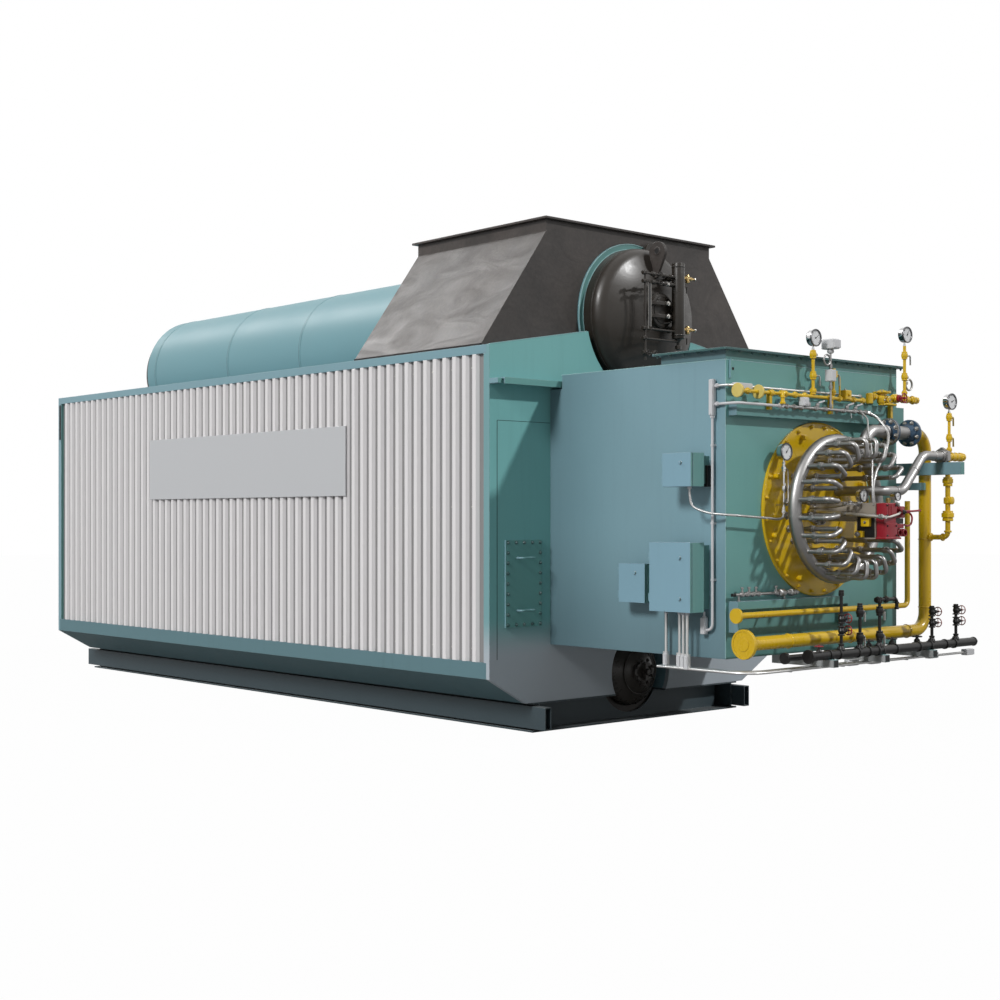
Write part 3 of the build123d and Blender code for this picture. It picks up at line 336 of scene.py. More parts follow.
def buildEdgeRub():
    # a mask that shows only along edges, broken up by noise, and the rounded normal that finds them
    group = newGroup("edgeRub", [("Width", "Float", 0.006), ("Amount", "Float", 0.5)],
                     [("Mask", "Float"), ("Normal", "Vector")])
    inside = add(group, "NodeGroupInput").outputs
    soft = add(group, "Bevel", {"samples": 4}, {"Radius": inside["Width"]}).outputs[0]
    plain = add(group, "NewGeometry").outputs["Normal"]
    same = add(group, "VectorMath", {"operation": "DOT_PRODUCT"}, {0: soft, 1: plain}).outputs["Value"]
    off = maths(group, "MULTIPLY", maths(group, "SUBTRACT", 0.995, same), 9.0, clamp=True)
    broken = maths(group, "MULTIPLY", maths(group, "SUBTRACT", cloudNoise(group, 18.0, 6.0, 0.7), 0.42), 5.0,
                   clamp=True)
    mask = maths(group, "MULTIPLY", maths(group, "MULTIPLY", off, broken), inside["Amount"], clamp=True)
    return groupOutputs(group, {"Mask": mask, "Normal": soft})


paintTone = buildPaintTone()
edgeRub = buildEdgeRub()


def useGroup(tree, group, sockets):
    return add(tree, "Group", {"node_tree": group}, sockets).outputs


def newMaterial(name):
    material = bpy.data.materials.new(name)
    material.use_nodes = True
    tree = material.node_tree
    return material, tree, tree.nodes["Principled BSDF"]


def paint(name, colour, rough=0.4, clouds=0.06, dust=0.1, streaks=0.05, peel=0.02, coat=0.0, edge=0.006, rub=0.35,
          rubColour=(0.55, 0.56, 0.55, 1), dustColour=(0.45, 0.44, 0.42, 1), front=None, specular=0.4):
    # painted steel: cloudy enamel with orange peel, rubbed edges, dust and faint runs; front is painted light and
    # shade, a second tone for faces that face along y, set apart from the side tone to stand in for how the lamps fall
    # on them
    material, tree, shader = newMaterial(name)
    base = (*colour, 1)
    if front:
        # painted light and shade: faces along y take the front tone
        across = axisOf(tree, "NewGeometry", "Normal", "Y")
        base = mixColours(tree, maths(tree, "MULTIPLY", across, across), base, (*front, 1))
    tone = useGroup(tree, paintTone, {"Colour": base, "Clouds": clouds, "Dust": dust, "Streaks": streaks,
                                      "Rough": rough, "Dust Colour": dustColour})
    edges = useGroup(tree, edgeRub, {"Width": edge, "Amount": rub})
    return fill(tree, shader, {
        "Base Color": mixColours(tree, edges["Mask"], tone["Colour"], rubColour), "Roughness": tone["Rough"],
        "Normal": bump(tree, peel, 0.002, tone["Height"], edges["Normal"]),
        "Specular IOR Level": specular, "Coat Weight": coat, "Coat Roughness": 0.15}, material)


def metal(name, colour, rough=0.4, grain=60.0, spread=0.12, tarnish=(0.2, 0.19, 0.18, 1), tarnished=0.1):
    # bare metal: fine drawn grain in the roughness, tarnish in patches; on the stainless the dark patches are partly
    # painted reflection
    material, tree, shader = newMaterial(name)
    fine, patch = cloudNoise(tree, grain, 6.0), cloudNoise(tree, 7.0, 5.0)
    stain = maths(tree, "MULTIPLY", maths(tree, "SUBTRACT", patch, 0.5), 4.0 * tarnished, clamp=True)
    return fill(tree, shader, {
        "Base Color": mixColours(tree, stain, (*colour, 1), tarnish),
        "Roughness": maths(tree, "MULTIPLY_ADD", maths(tree, "SUBTRACT", fine, 0.5), spread * 2,
                           maths(tree, "MULTIPLY_ADD", stain, 0.25, rough), clamp=True),
        "Normal": bump(tree, 0.05, 0.001, fine), "Metallic": 1.0}, material)


def braid():
    # woven wire: crossed bands in the object's own coordinates, bright on the crowns
    material, tree, shader = newMaterial("braidedHose")
    here = add(tree, "TexCoord").outputs["Object"]
    bands = add(tree, "TexWave", {"wave_type": "BANDS", "bands_direction": "DIAGONAL"},
                {"Vector": here, "Scale": 55.0, "Distortion": 1.5, "Detail": 2.0}).outputs["Fac"]
    weave = maths(tree, "MULTIPLY_ADD", bands, 0.6, maths(tree, "MULTIPLY", cloudNoise(tree, 160.0), 0.4))
    return fill(tree, shader, {
        "Base Color": mixColours(tree, weave, (0.22, 0.22, 0.22, 1), (0.66, 0.66, 0.65, 1)),
        "Roughness": maths(tree, "MULTIPLY_ADD", weave, -0.2, 0.5),
        "Normal": bump(tree, 0.4, 0.001, weave), "Metallic": 0.85}, material)


# every front colour in this table is painted light and shade: faces along y lighter or darker than the sides, as the
# lamps would make them
paints = {
    "teal_paint": dict(colour=(0.185, 0.325, 0.375), rough=0.38, dust=0.12, front=(0.135, 0.325, 0.305)),
    "teal_shade": dict(colour=(0.155, 0.27, 0.31), rough=0.42, dust=0.12, streaks=0.08, front=(0.115, 0.27, 0.26)),
    "skid_paint": dict(colour=(0.045, 0.066, 0.076), rough=0.45, dust=0.2, streaks=0.1),
    "ribbed_sheet": dict(colour=(0.74, 0.725, 0.73), rough=0.45, clouds=0.03, dust=0.05, streaks=0.04,
                         rubColour=(0.75, 0.75, 0.74, 1)),
    "lagging_sheet": dict(colour=(0.145, 0.29, 0.325), rough=0.46, clouds=0.03, dust=0.05, streaks=0.0),
    "hood_paint": dict(colour=(0.046, 0.038, 0.034), rough=0.44, clouds=1.3, streaks=0.3, peel=0.12, rub=0.2,
                       rubColour=(0.2, 0.19, 0.18, 1), front=(0.035, 0.029, 0.026)),
    "drum_black": dict(colour=(0.02, 0.0155, 0.0115), rough=0.34, clouds=0.3, rub=0.25, rubColour=(0.2, 0.19, 0.18, 1)),
    "gas_yellow": dict(colour=(0.63, 0.405, 0.004), rough=0.3, dust=0.05, coat=0.3, edge=0.003,
                       rubColour=(0.85, 0.72, 0.3, 1)),
    "pipe_black": dict(colour=(0.009, 0.0085, 0.0085), rough=0.34, clouds=0.2, dust=0.06, edge=0.003,
                       rubColour=(0.25, 0.25, 0.25, 1), specular=0.3),
    "flange_blue": dict(colour=(0.03, 0.065, 0.11), rough=0.35, clouds=0.1, edge=0.003),
    "actuator_red": dict(colour=(0.26, 0.01, 0.02), rough=0.33, dust=0.08, edge=0.003, rubColour=(0.6, 0.3, 0.28, 1)),
    "gun_grey": dict(colour=(0.26, 0.23, 0.19), clouds=0.08, dust=0.15, edge=0.003),
    "board_white": dict(colour=(0.5, 0.51, 0.525), rough=0.35, clouds=0.02, dust=0.0, streaks=0.0, rub=0.0),
    "cabinet_paint": dict(colour=(0.2, 0.35, 0.43), clouds=0.04, edge=0.005, front=(0.12, 0.27, 0.255)),
    "wallTeal": dict(colour=(0.17, 0.34, 0.36), rough=0.38, dust=0.12, streaks=0.08, front=(0.175, 0.42, 0.41)),
    "windboxTeal": dict(colour=(0.19, 0.325, 0.375), rough=0.38, dust=0.12, front=(0.145, 0.345, 0.325)),
    # painted shadow: the air inlet duct darker all over, standing in for the shadow its flange casts
    "inletTeal": dict(colour=(0.085, 0.165, 0.185), streaks=0.1, front=(0.085, 0.215, 0.205)),
    # painted light: a lighter copy of the drum black for the lower drum heads, which lie in shade
    "lowerDrum": dict(colour=(0.05, 0.044, 0.038), rough=0.27, clouds=0.4, rub=0.25, rubColour=(0.2, 0.19, 0.18, 1)),
    # painted shade: a darker copy of the casing teal for the skirts, which lie in shade
    "skirtTeal": dict(colour=(0.11, 0.2, 0.225), rough=0.45, streaks=0.1, specular=0.2),
    "armGrey": dict(colour=(0.3, 0.31, 0.31), clouds=0.15, dust=0.15, front=(0.05, 0.08, 0.085)),
    "conduitWhite": dict(colour=(0.58, 0.585, 0.6), rough=0.38, clouds=0.05, edge=0.002),
    "dialWhite": dict(colour=(0.78, 0.79, 0.8), rough=0.25, clouds=0.01, dust=0.0, rub=0.0),
    # painted highlight: a pale teal for strips on edges and tops where light catches them
    "tealPale": dict(colour=(0.3, 0.52, 0.53)),
    "tealDark": dict(colour=(0.035, 0.1, 0.1), rough=0.42),
    "paleYellow": dict(colour=(0.62, 0.5, 0.14), rough=0.35, dust=0.05, edge=0.003),
    "wheelPink": dict(colour=(0.5, 0.28, 0.27), rough=0.45, clouds=0.12, dust=0.15, edge=0.002),
    # near black: the colour of dark joints, and painted shade for holes and open ends
    "holeDark": dict(colour=(0.006, 0.006, 0.006), rough=0.7, clouds=0.1, dust=0.0, rub=0.0),
    "dialInk": dict(colour=(0.012, 0.012, 0.013), clouds=0.05, dust=0.0, rub=0.0),
}
metals = {
    # the stainless's dark patches are partly tarnish and partly painted reflection, standing in for dark surroundings
    # mirrored in the steel
    "stainless": dict(colour=(0.31, 0.305, 0.3), tarnish=(0.12, 0.115, 0.11, 1), tarnished=0.35),
    "galvanised": dict(colour=(0.62, 0.62, 0.61), rough=0.42, grain=25.0, tarnish=(0.45, 0.45, 0.45, 1), tarnished=0.2),
    "brass": dict(colour=(0.5, 0.36, 0.16), rough=0.35, tarnished=0.2),
    "chrome": dict(colour=(0.62, 0.62, 0.62), rough=0.16, spread=0.05, tarnished=0.05),
    "boltSteel": dict(colour=(0.4, 0.39, 0.37), rough=0.35, grain=90.0, tarnished=0.4),
    "rimGrey": dict(colour=(0.16, 0.16, 0.165), rough=0.3),
    "rodSilver": dict(colour=(0.62, 0.6, 0.56)),
    "gaugeGlass": dict(colour=(0.1, 0.1, 0.1), rough=0.1, grain=20.0, spread=0.03),
}


def materialName(key):
    # a finish's own name in camel case
    first, *rest = key.split("_")
    return first + "".join(word.title() for word in rest)


finishes = {key: paint(materialName(key), **facts) for key, facts in paints.items()}
finishes.update({key: metal(materialName(key), **facts) for key, facts in metals.items()})

finishes["braidedHose"] = braid()

nodeSlots = {entry["node"]: entry["material_slot"] for entry in frame["record"]["subparts"]}


def reworked(material, name, step):
    # what feeds a shader socket goes through one more step
    tree = material.node_tree
    socket = tree.nodes["Principled BSDF"].inputs[name]
    tree.links.new(step(tree, socket.links[0].from_socket), socket)


def ramp(tree, value, low, high, atLow, atHigh):
    sockets = {"Value": value, "From Min": low, "From Max": high, "To Min": atLow, "To Max": atHigh}
    return add(tree, "MapRange", {"interpolation_type": "SMOOTHSTEP"}, sockets).outputs[0]


def shadeAlong(key, axis, low, high, least):
    # painted shade: the tone falls to a share where the object coordinate's size along an axis goes from high down to
    # low
    def step(tree, tone):
        reach = maths(tree, "ABSOLUTE", axisOf(tree, "TexCoord", "Object", axis))
        return scaled(tree, tone, ramp(tree, reach, low, high, least, 1.0))
    reworked(finishes[key], "Base Color", step)


def paintedFloorReflection(key, low, high, colour):
    # painted reflection: the tone turns to another colour, standing in for the floor's light mirrored in the paint,
    # where the height goes from high down to low
    def step(tree, tone):
        return mixColours(tree, ramp(tree, axisOf(tree, "TexCoord", "Object", "Z"), low, high, 1.0, 0.0), tone, colour)
    reworked(finishes[key], "Base Color", step)


def wrinkle(key, scale, strength, mottle):
    # sheet metal that isn't flat: broad dents and fine creases in the normal, patches of tone and of gloss
    broad = cloudNoise(finishes[key].node_tree, scale, 9.0, 0.62, (1, 0.6, 1.5), 1.2)
    reworked(finishes[key], "Normal", lambda tree, normal: bump(tree, strength, 0.02, broad, normal))
    reworked(finishes[key], "Base Color",
             lambda tree, tone: scaled(tree, tone, maths(tree, "MULTIPLY_ADD", broad, mottle, 1 - mottle / 2)))
    reworked(finishes[key], "Roughness",
             lambda tree, rough: maths(tree, "MULTIPLY_ADD", maths(tree, "SUBTRACT", broad, 0.5), -0.5, rough, clamp=True))


# painted shade: the valleys of the ribbed walls darker
shadeAlong("ribbed_sheet", "X", 1.7385, 1.7445, 0.34)
# painted shade: the windbox darker towards its foot
shadeAlong("windboxTeal", "Z", 0.55, 1.75, 0.62)
# painted reflection: the front wall's foot turns pale blue-grey
paintedFloorReflection("wallTeal", 0.62, 0.98, (0.4, 0.45, 0.49, 1))
# painted shade: the windbox darker towards the front wall, in the corner
shadeAlong("windboxTeal", "Y", 3.45, 4.75, 0.62)
wrinkle("hood_paint", 2.6, 0.22, 1.1)
wrinkle("drum_black", 3.5, 0.04, 0.6)
# these copies carry painted light and shade: front tones, darkened gradients, the inlet's shadow, the skirts' shade and
# the lower drum heads' lighter tone
nodeTones = {"windbox": "windboxTeal", "air_inlet": "inletTeal", "front_wall": "wallTeal", "skirt_left": "skirtTeal",
             "skirt_right": "skirtTeal", "support_arms": "armGrey", "mud_drum_head_front": "lowerDrum",
             "mud_drum_head_rear": "lowerDrum"}
for name, solid in nodes.items():
    finish = finishes[nodeTones.get(name, nodeSlots[name])]
    if solid.data.materials:
        for index in range(len(solid.data.materials)):
            solid.data.materials[index] = finish
    else:
        solid.data.materials.append(finish)
print("stage: finishes on", len(nodes), "nodes")


# hardware shells: nuts, valves and gauges, each round its own z axis from the origin up

def nut(across, height, bevel=0.0015):
    return prism(hexOutline(across), height, bevel)


def rounded(radius, height, bevel=0.002, sides=20):
    # a short round bar with its edges taken off
    return lathe([(radius - bevel, 0), (radius, bevel), (radius, height - bevel), (radius - bevel, height)], sides)


def boltHead(across=0.024):
    # washer, hexagon and the stud's end that stands through it
    return merged([lathe([(across * 0.75, 0), (across * 0.75, across * 0.12)], 12),
                   turnedTo(nut(across, across * 0.55), (0, 0, across * 0.1)),
                   lathe([(across * 0.28, across * 0.6), (across * 0.28, across * 0.95), (across * 0.2, across)], 8)])


def copies(shell, places, along=(0, 0, 1), side=None):
    # one shell stood at each of many places
    turned = turnedTo(shell, (0, 0, 0), along, side)
    places = np.array(places, float)
    count = len(turned[0])
    points = (places[:, None] + turned[0][None]).reshape(-1, 3)
    shifts = np.arange(len(places)) * count
    return points, [(block[None] + shifts[:, None, None]).reshape(-1, block.shape[1]) for block in turned[1]]


def circlePlaces(centre, radius, count, first=0.0, plane="xz"):
    angle = np.radians(first) + 2 * math.pi * np.arange(count) / count
    flat = {"xz": (0, 2), "yz": (1, 2), "xy": (0, 1)}[plane]
    places = np.tile(np.array(centre, float), (count, 1))
    places[:, flat[0]] += radius * np.cos(angle)
    places[:, flat[1]] += radius * np.sin(angle)
    return places


def torus(radius, tube, sides=40, around=12):
    # a small circle carried round a large one
    angle = np.linspace(0, 2 * math.pi, around, endpoint=False)
    return ringBand(np.column_stack([radius + tube * np.cos(angle), tube * np.sin(angle)]), sides)


def union(radius, length, across=None):
    # a pipe union: a collar at each end and a large hexagon between them
    across = across or radius * 2.9
    return merged([rounded(radius * 1.22, length), turnedTo(nut(across, length * 0.42), (0, 0, length * 0.36)),
                   turnedTo(nut(across * 0.86, length * 0.22), (0, 0, length * 0.04))])


def bead(radius, height=0.006, sides=24):
    # a weld bead round a pipe
    r = radius
    return lathe([(r * 0.98, 0), (r + height * 0.45, height * 0.2), (r + height * 0.55, height * 0.5),
                  (r + height * 0.45, height * 0.8), (r * 0.98, height)], sides)


def ballValve(radius, length):
    # hexagon ends and a round body between them, along z
    r = radius
    return merged([nut(r * 2.3, length * 0.25), turnedTo(nut(r * 2.3, length * 0.25), (0, 0, length * 0.75)),
                   turnedTo(lathe([(r, 0), (r * 1.35, length * 0.06), (r * 1.5, length * 0.3),
                                   (r * 1.35, length * 0.54), (r, length * 0.6)], 20), (0, 0, length * 0.2))])


def handwheel(radius):
    # rim, four spokes and hub, facing along z
    spokes = [turnedTo(tubeAlong([(0, 0, 0), (radius, 0, 0)], radius * 0.085, 8), (0, 0, 0), (0, 0, 1),
                       (math.cos(a), math.sin(a), 0)) for a in np.radians([0, 90, 180, 270])]
    return merged([torus(radius * 0.9, radius * 0.12, 28, 10), rounded(radius * 0.24, radius * 0.3, 0.001, 12)]
                  + spokes)


def mirrored(shells, middle):
    # shells turned over a plane across y, their faces reversed so that they still point outward
    return [(p * (1, -1, 1) + (0, 2 * middle, 0), [block[:, ::-1] for block in faces]) for p, faces in shells]


# pressure gauges with dials that face the front

gaugeFacts = {
    "places": [(-0.171, -5.772, 3.1523, 0.068, 0.024), (1.064, -5.772, 3.2723, 0.068, 0.024),
               (1.227, -6.088, 2.711, 0.068, 0.024), (-0.03, -6.115, 1.9303, 0.05, 0.005),
               (-0.522, -5.762, 2.262, 0.068, 0.024), (0.24, -6.235, 1.927, 0.036, 0.012)],
    "needles": [215, 238, 205, 250, 232, 200],
    "ticks": 30,
}


def buildGauges():
    cases, rims, dials, marks = [], [], [], []
    for (x, y, z, radius, drop), needle in zip(gaugeFacts["places"], gaugeFacts["needles"]):
        r = radius
        back = (x, y + 0.026, z)
        cases += placed(
            (lathe([(r * 0.3, 0), (r * 0.86, 0.002), (r * 0.9, 0.008), (r * 0.9, 0.05)], 40), back, toFront, toRight),
            (merged([nut(0.024, 0.012), turnedTo(lathe([(0.008, 0), (0.008, 0.03)], 12), (0, 0, 0.01))]), (x, y,
                z - r - drop)))
        rims.append(turnedTo(ringBand([(r * 0.86, 0), (r * 0.98, 0), (r, 0.004), (r, 0.01), (r * 0.97, 0.013),
                                       (r * 0.88, 0.0125), (r * 0.855, 0.006)], 48), (x, y - 0.02, z), toFront))
        dials.append(turnedTo(lathe([(r * 0.87, 0), (r * 0.87, 0.002)], 40), (x, y - 0.024, z), toFront))
        face = y - 0.0262
        turn = np.radians(225 - 270 * np.arange(gaugeFacts["ticks"] + 1) / gaugeFacts["ticks"])
        for n, a in enumerate(turn):
            long = 0.14 if n % 5 == 0 else 0.07
            out, wide = r * 0.78, r * (0.022 if n % 5 == 0 else 0.012)
            ray = np.array([math.cos(a), 0, math.sin(a)])
            tick = slab((-wide, -r * long / 2, 0), (wide, r * long / 2, 0.0006), 0)
            middle = np.array([x, face, z]) + ray * (out - r * long / 2)
            marks.append(turnedTo(tick, middle, toFront, np.cross(toFront, ray)))
        a = math.radians(needle)
        ray = np.array([math.cos(a), 0, math.sin(a)])
        pointer = prism([(-r * 0.035, -r * 0.2), (r * 0.035, -r * 0.2), (r * 0.012, r * 0.66), (-r * 0.012, r * 0.66)],
                        0.001)
        marks += placed(
            (pointer, (x, face - 0.003, z), toFront, np.cross(toFront, ray)),
            (rounded(r * 0.08, 0.005, 0.001, 14), (x, face, z), toFront))
        arc = np.radians(np.linspace(225, -45, 40))
        ring = np.column_stack([x + r * 0.79 * np.cos(arc), np.full(40, face), z + r * 0.79 * np.sin(arc)])
        marks.append(strip(ring, 0.0008, r * 0.014))
    x, y, z, r, drop = gaugeFacts["places"][4]
    stem = [turnedTo(lathe([(0.01, 0), (0.01, z - r - drop - 1.83)], 14), (x, y, 1.83)),
            turnedTo(union(0.012, 0.05), (x, y, z - 0.152)), turnedTo(nut(0.03, 0.02), (x, y, 1.86)),
            turnedTo(ballValve(0.014, 0.07), (x, y, 1.95)),
            tubeAlong(roundPath([(x, y, z - 0.13), (x + 0.052, y, z - 0.13), (x + 0.052, y, 1.875),
                                 (x, y, 1.875)], 0.022), 0.006, 10),
            tubeAlong([(x, y, 1.86), (x, -5.69, 1.86)], 0.008, 12)]
    putPieces(
        ("gaugeCases", cases + stem, "chrome", "stainless", "boiler", "pressure_gauges"),
        ("gaugeRims", rims, "rimGrey", "pipe_black"),
        ("gaugeDials", dials, "dialWhite", "board_white"),
        ("gaugeMarks", marks, "dialInk", "pipe_black"))


# the two hoses over the injectors, each a smooth curve held at both ends

hoseFacts = {
    "thick": {"radius": 0.0115, "path": [
        (0.5003, -5.798, 2.605), (0.577, -5.84, 2.5625), (0.583, -5.93, 2.4547), (0.494, -6.0, 2.377),
        (0.379, -6.06, 2.2927), (0.224, -6.12, 2.201), (0.1, -6.16, 2.1125), (0.032, -6.181, 1.995),
        (0.03, -6.183, 1.8753)]},
    "thin": {"radius": 0.0075, "path": [
        (0.39, -5.8103, 2.605), (0.3547, -5.9, 2.542), (0.2248, -6.0, 2.4382), (0.1354, -6.09, 2.3154),
        (0.0621, -6.15, 2.2115), (0.02, -6.18, 2.09), (-0.004, -6.199, 1.98), (0.0, -6.2, 1.8753)]},
}


def buildHoses():
    # a smooth curve with a braid: the radius swings a little along each tube
    shells, ends = [], []
    for facts in (hoseFacts["thick"], hoseFacts["thin"]):
        path = smoothPath(facts["path"], 260)
        r = facts["radius"]
        swing = 1 + 0.035 * np.sin(np.arange(260) * math.pi / 2)
        shells.append(tubeAlong(path, r, 16, swing))
        for tip, inside in ((path[0], path[4]), (path[-1], path[-5])):
            ends.append(turnedTo(merged([nut(r * 3.0, r * 1.6), turnedTo(rounded(r * 1.35, r * 3.4), (0, 0, r * 1.4))]),
                                 tip, inside - tip))
    putPieces(
        ("burnerHoses", shells, "braidedHose", "stainless", "boiler", "burner_hoses"),
        ("hoseEnds", ends, "stainless", "stainless"))


# upright conduit at the windbox's corner, and the flexible conduit round it

cornerFacts = {"x": -1.125, "y": -5.572, "radius": 0.011}


def conduitBody(low, high, cover=None):
    # a cast box with a screwed cover plate on the side that cover names
    shells = [slab(low, high, 0.004, 0.008)]
    low, high = np.array(low, float), np.array(high, float)
    middle, half = (low + high) / 2, (high - low) / 2
    axis = int(np.argmax(np.abs(cover)))
    flat = [n for n in range(3) if n != axis]
    lowC, highC = low.copy(), high.copy()
    lowC[flat] += 0.003
    highC[flat] -= 0.003
    if cover[axis] > 0:
        lowC[axis], highC[axis] = high[axis] - 0.001, high[axis] + 0.004
    else:
        lowC[axis], highC[axis] = low[axis] - 0.004, low[axis] + 0.001
    shells.append(slab(lowC, highC, 0.0015))
    longAxis = max(flat, key=lambda n: half[n])
    for side in (-1, 1):
        place = middle.copy()
        place[axis] += (half[axis] + 0.003) * np.sign(cover[axis])
        place[longAxis] += side * (half[longAxis] - 0.012)
        shells.append(turnedTo(rounded(0.005, 0.003, 0.001, 10), place, cover))
    return shells


def buildCornerConduit():
    x, y, r = cornerFacts["x"], cornerFacts["y"], cornerFacts["radius"]
    # down past the cabinet, round to the left and into an upright body under its floor
    down = roundPath([(x, y, 2.56), (x, y, 0.925), (x, y + 0.062, 0.925)], 0.05)
    shells = [tubeAlong(down, r, 18), tubeAlong([(x, y + 0.08, 1.0), (x, y + 0.08, 1.0602)], 0.0085, 14)]
    shells += conduitBody((x - 0.02, y - 0.02, 2.52), (x + 0.02, y + 0.02, 2.79), toLeft)
    shells += conduitBody((x - 0.02, y + 0.058, 0.892), (x + 0.02, y + 0.102, 1.018), toLeft)
    shells += [turnedTo(nut(0.034, 0.018), (x, y, 2.502)), turnedTo(nut(0.028, 0.012), (x, y + 0.08, 1.017))]
    for z in (1.3, 1.72, 2.3):
        shells.append(slab((x + 0.008, y - 0.012, z - 0.008), (-1.0955, y + 0.012, z + 0.008), 0.001))
        shells.append(turnedTo(collar(0.0112, 0.015, 0, 0.016, 20), (x, y, z - 0.008)))
    high = roundPath([(x + 0.01, y - 0.02, 2.74), (x + 0.01, -5.712, 2.74), (0.54, -5.712, 2.74)], 0.03)
    low = roundPath([(x + 0.01, y - 0.02, 2.605), (x + 0.01, -5.798, 2.605), (-0.578, -5.798, 2.605)], 0.06)
    grey = [tubeAlong(high, 0.0105, 14)]
    shells.append(tubeAlong(low, 0.0105, 16))
    for z in (2.74, 2.605):
        shells.append(turnedTo(union(0.011, 0.035), (x + 0.01, y - 0.018, z), toFront))
    shells += conduitBody((-1.05, -5.734, 2.718), (-0.86, -5.69, 2.762), toFront)
    grey.append(turnedTo(union(0.011, 0.04), (0.5, -5.712, 2.74), toRight))
    grey += [turnedTo(collar(0.0108, 0.015, 0, 0.014, 20), (px, -5.712, 2.74), toRight) for px in (-0.5, 0.1)]
    grey += [slab((px, -5.704, 2.733), (px + 0.014, -5.6725, 2.747), 0.001) for px in (-0.5, 0.1)]
    shells.append(turnedTo(union(0.013, 0.05), (-0.63, -5.798, 2.605), toRight))
    flex = smoothPath([(-1.25, -5.458, 1.9927), (-1.249, -5.459, 1.92), (-1.236, -5.48, 1.845), (-1.195, -5.58, 1.8),
                       (-1.16, -5.68, 1.787), (-1.08, -5.768, 1.778), (-0.95, -5.774, 1.77), (-0.75, -5.776, 1.76),
                       (-0.6, -5.772, 1.752), (-0.535, -5.764, 1.768), (-0.522, -5.762, 1.82)], 420)
    swing = 1 + 0.05 * np.sin(np.arange(420) * math.pi / 2)
    shells += placed(
        (nut(0.03, 0.02), (-1.25, -5.458, 1.975)),
        (merged([nut(0.026, 0.016), turnedTo(rounded(0.011, 0.03), (0, 0, 0.014))]), (-0.522, -5.762, 1.8)))
    putPieces(
        ("cornerConduit", shells, "conduitWhite", "galvanised", "boiler", "conduit_corner"),
        ("greyConduit", grey, "galvanised", "galvanised"),
        ("flexibleConduit", [tubeAlong(flex, 0.0092, 12, swing)], "braidedHose", "galvanised"))


# unions, elbow beads and root nuts on the gas injectors

injectorFacts = {"count": 20, "pitch": 15.0, "first": 37.5, "ring": 0.53, "inner": 0.4, "tube": 0.018, "far": -6.187,
                 "root": -5.923, "plate": -5.688, "centre": 1.83}


def buildInjectorFittings():
    shells = []
    f = injectorFacts
    fitting = merged([rounded(f["tube"] * 1.25, 0.012), turnedTo(nut(f["tube"] * 2.75, 0.026), (0, 0, 0.01)),
                      turnedTo(rounded(f["tube"] * 1.3, 0.016), (0, 0, 0.034))])
    weld = bead(f["tube"], 0.007, 16)
    sleeve = rounded(f["tube"] * 1.14, 0.02, 0.002, 16)
    for n in range(f["count"]):
        a = math.radians(f["first"] + f["pitch"] * n)
        out = np.array([math.cos(a), 0, math.sin(a)])
        centre = np.array([0, 0, f["centre"]])
        outer, inner = centre + out * f["ring"], centre + out * f["inner"]
        span = f["far"] - f["root"]
        shells += placed(
            (fitting, outer + np.array([0, f["root"] + span * 0.3, 0]), toFront, out),
            (fitting, inner + np.array([0, f["far"] + 0.3, 0]), toFront, out),
            (weld, outer + np.array([0, f["root"] + 0.004, 0]), toFront, out))
        for base in (outer, inner):
            shells.append(turnedTo(sleeve, base + np.array([0, f["far"] + 0.062, 0]), toFront, out))
        shells.append(turnedTo(nut(0.052, 0.014), inner + np.array([0, f["plate"] + 0.001, 0]), toFront, out))
    putPiece("injectorFittings", shells, "stainless", "stainless")


# bolts round the burner plate, and its raised rings

plateFacts = {"front": -5.688, "centre": 1.83}


def buildPlateBolts():
    f = plateFacts
    centre = (0, f["front"], f["centre"])
    bolts = [copies(boltHead(0.024), circlePlaces(centre, 0.645, 24, 7.5), toFront, toRight)]
    rings = [turnedTo(ringBand([(0.668, 0), (0.6795, 0), (0.6795, 0.004), (0.668, 0.006)], 96), centre, toFront),
             turnedTo(collar(0.3, 0.335, 0, 0.008, 72), centre, toFront)]
    stubs = copies(merged([rounded(0.022, 0.03, 0.002, 16), turnedTo(nut(0.036, 0.016), (0, 0, 0.028))]),
                   circlePlaces(centre, 0.59, 8, 20), toFront, toRight)
    putPieces(
        ("plateBolts", bolts, "gas_yellow", "galvanised"),
        ("plateRings", rings + [stubs], "gas_yellow", "gas_yellow"))


# bolts on the blue flanges, bands and discs on the gas lines

flangeFacts = {"y": -5.872, "z": 2.453, "bolts": 8, "circle": 0.086}


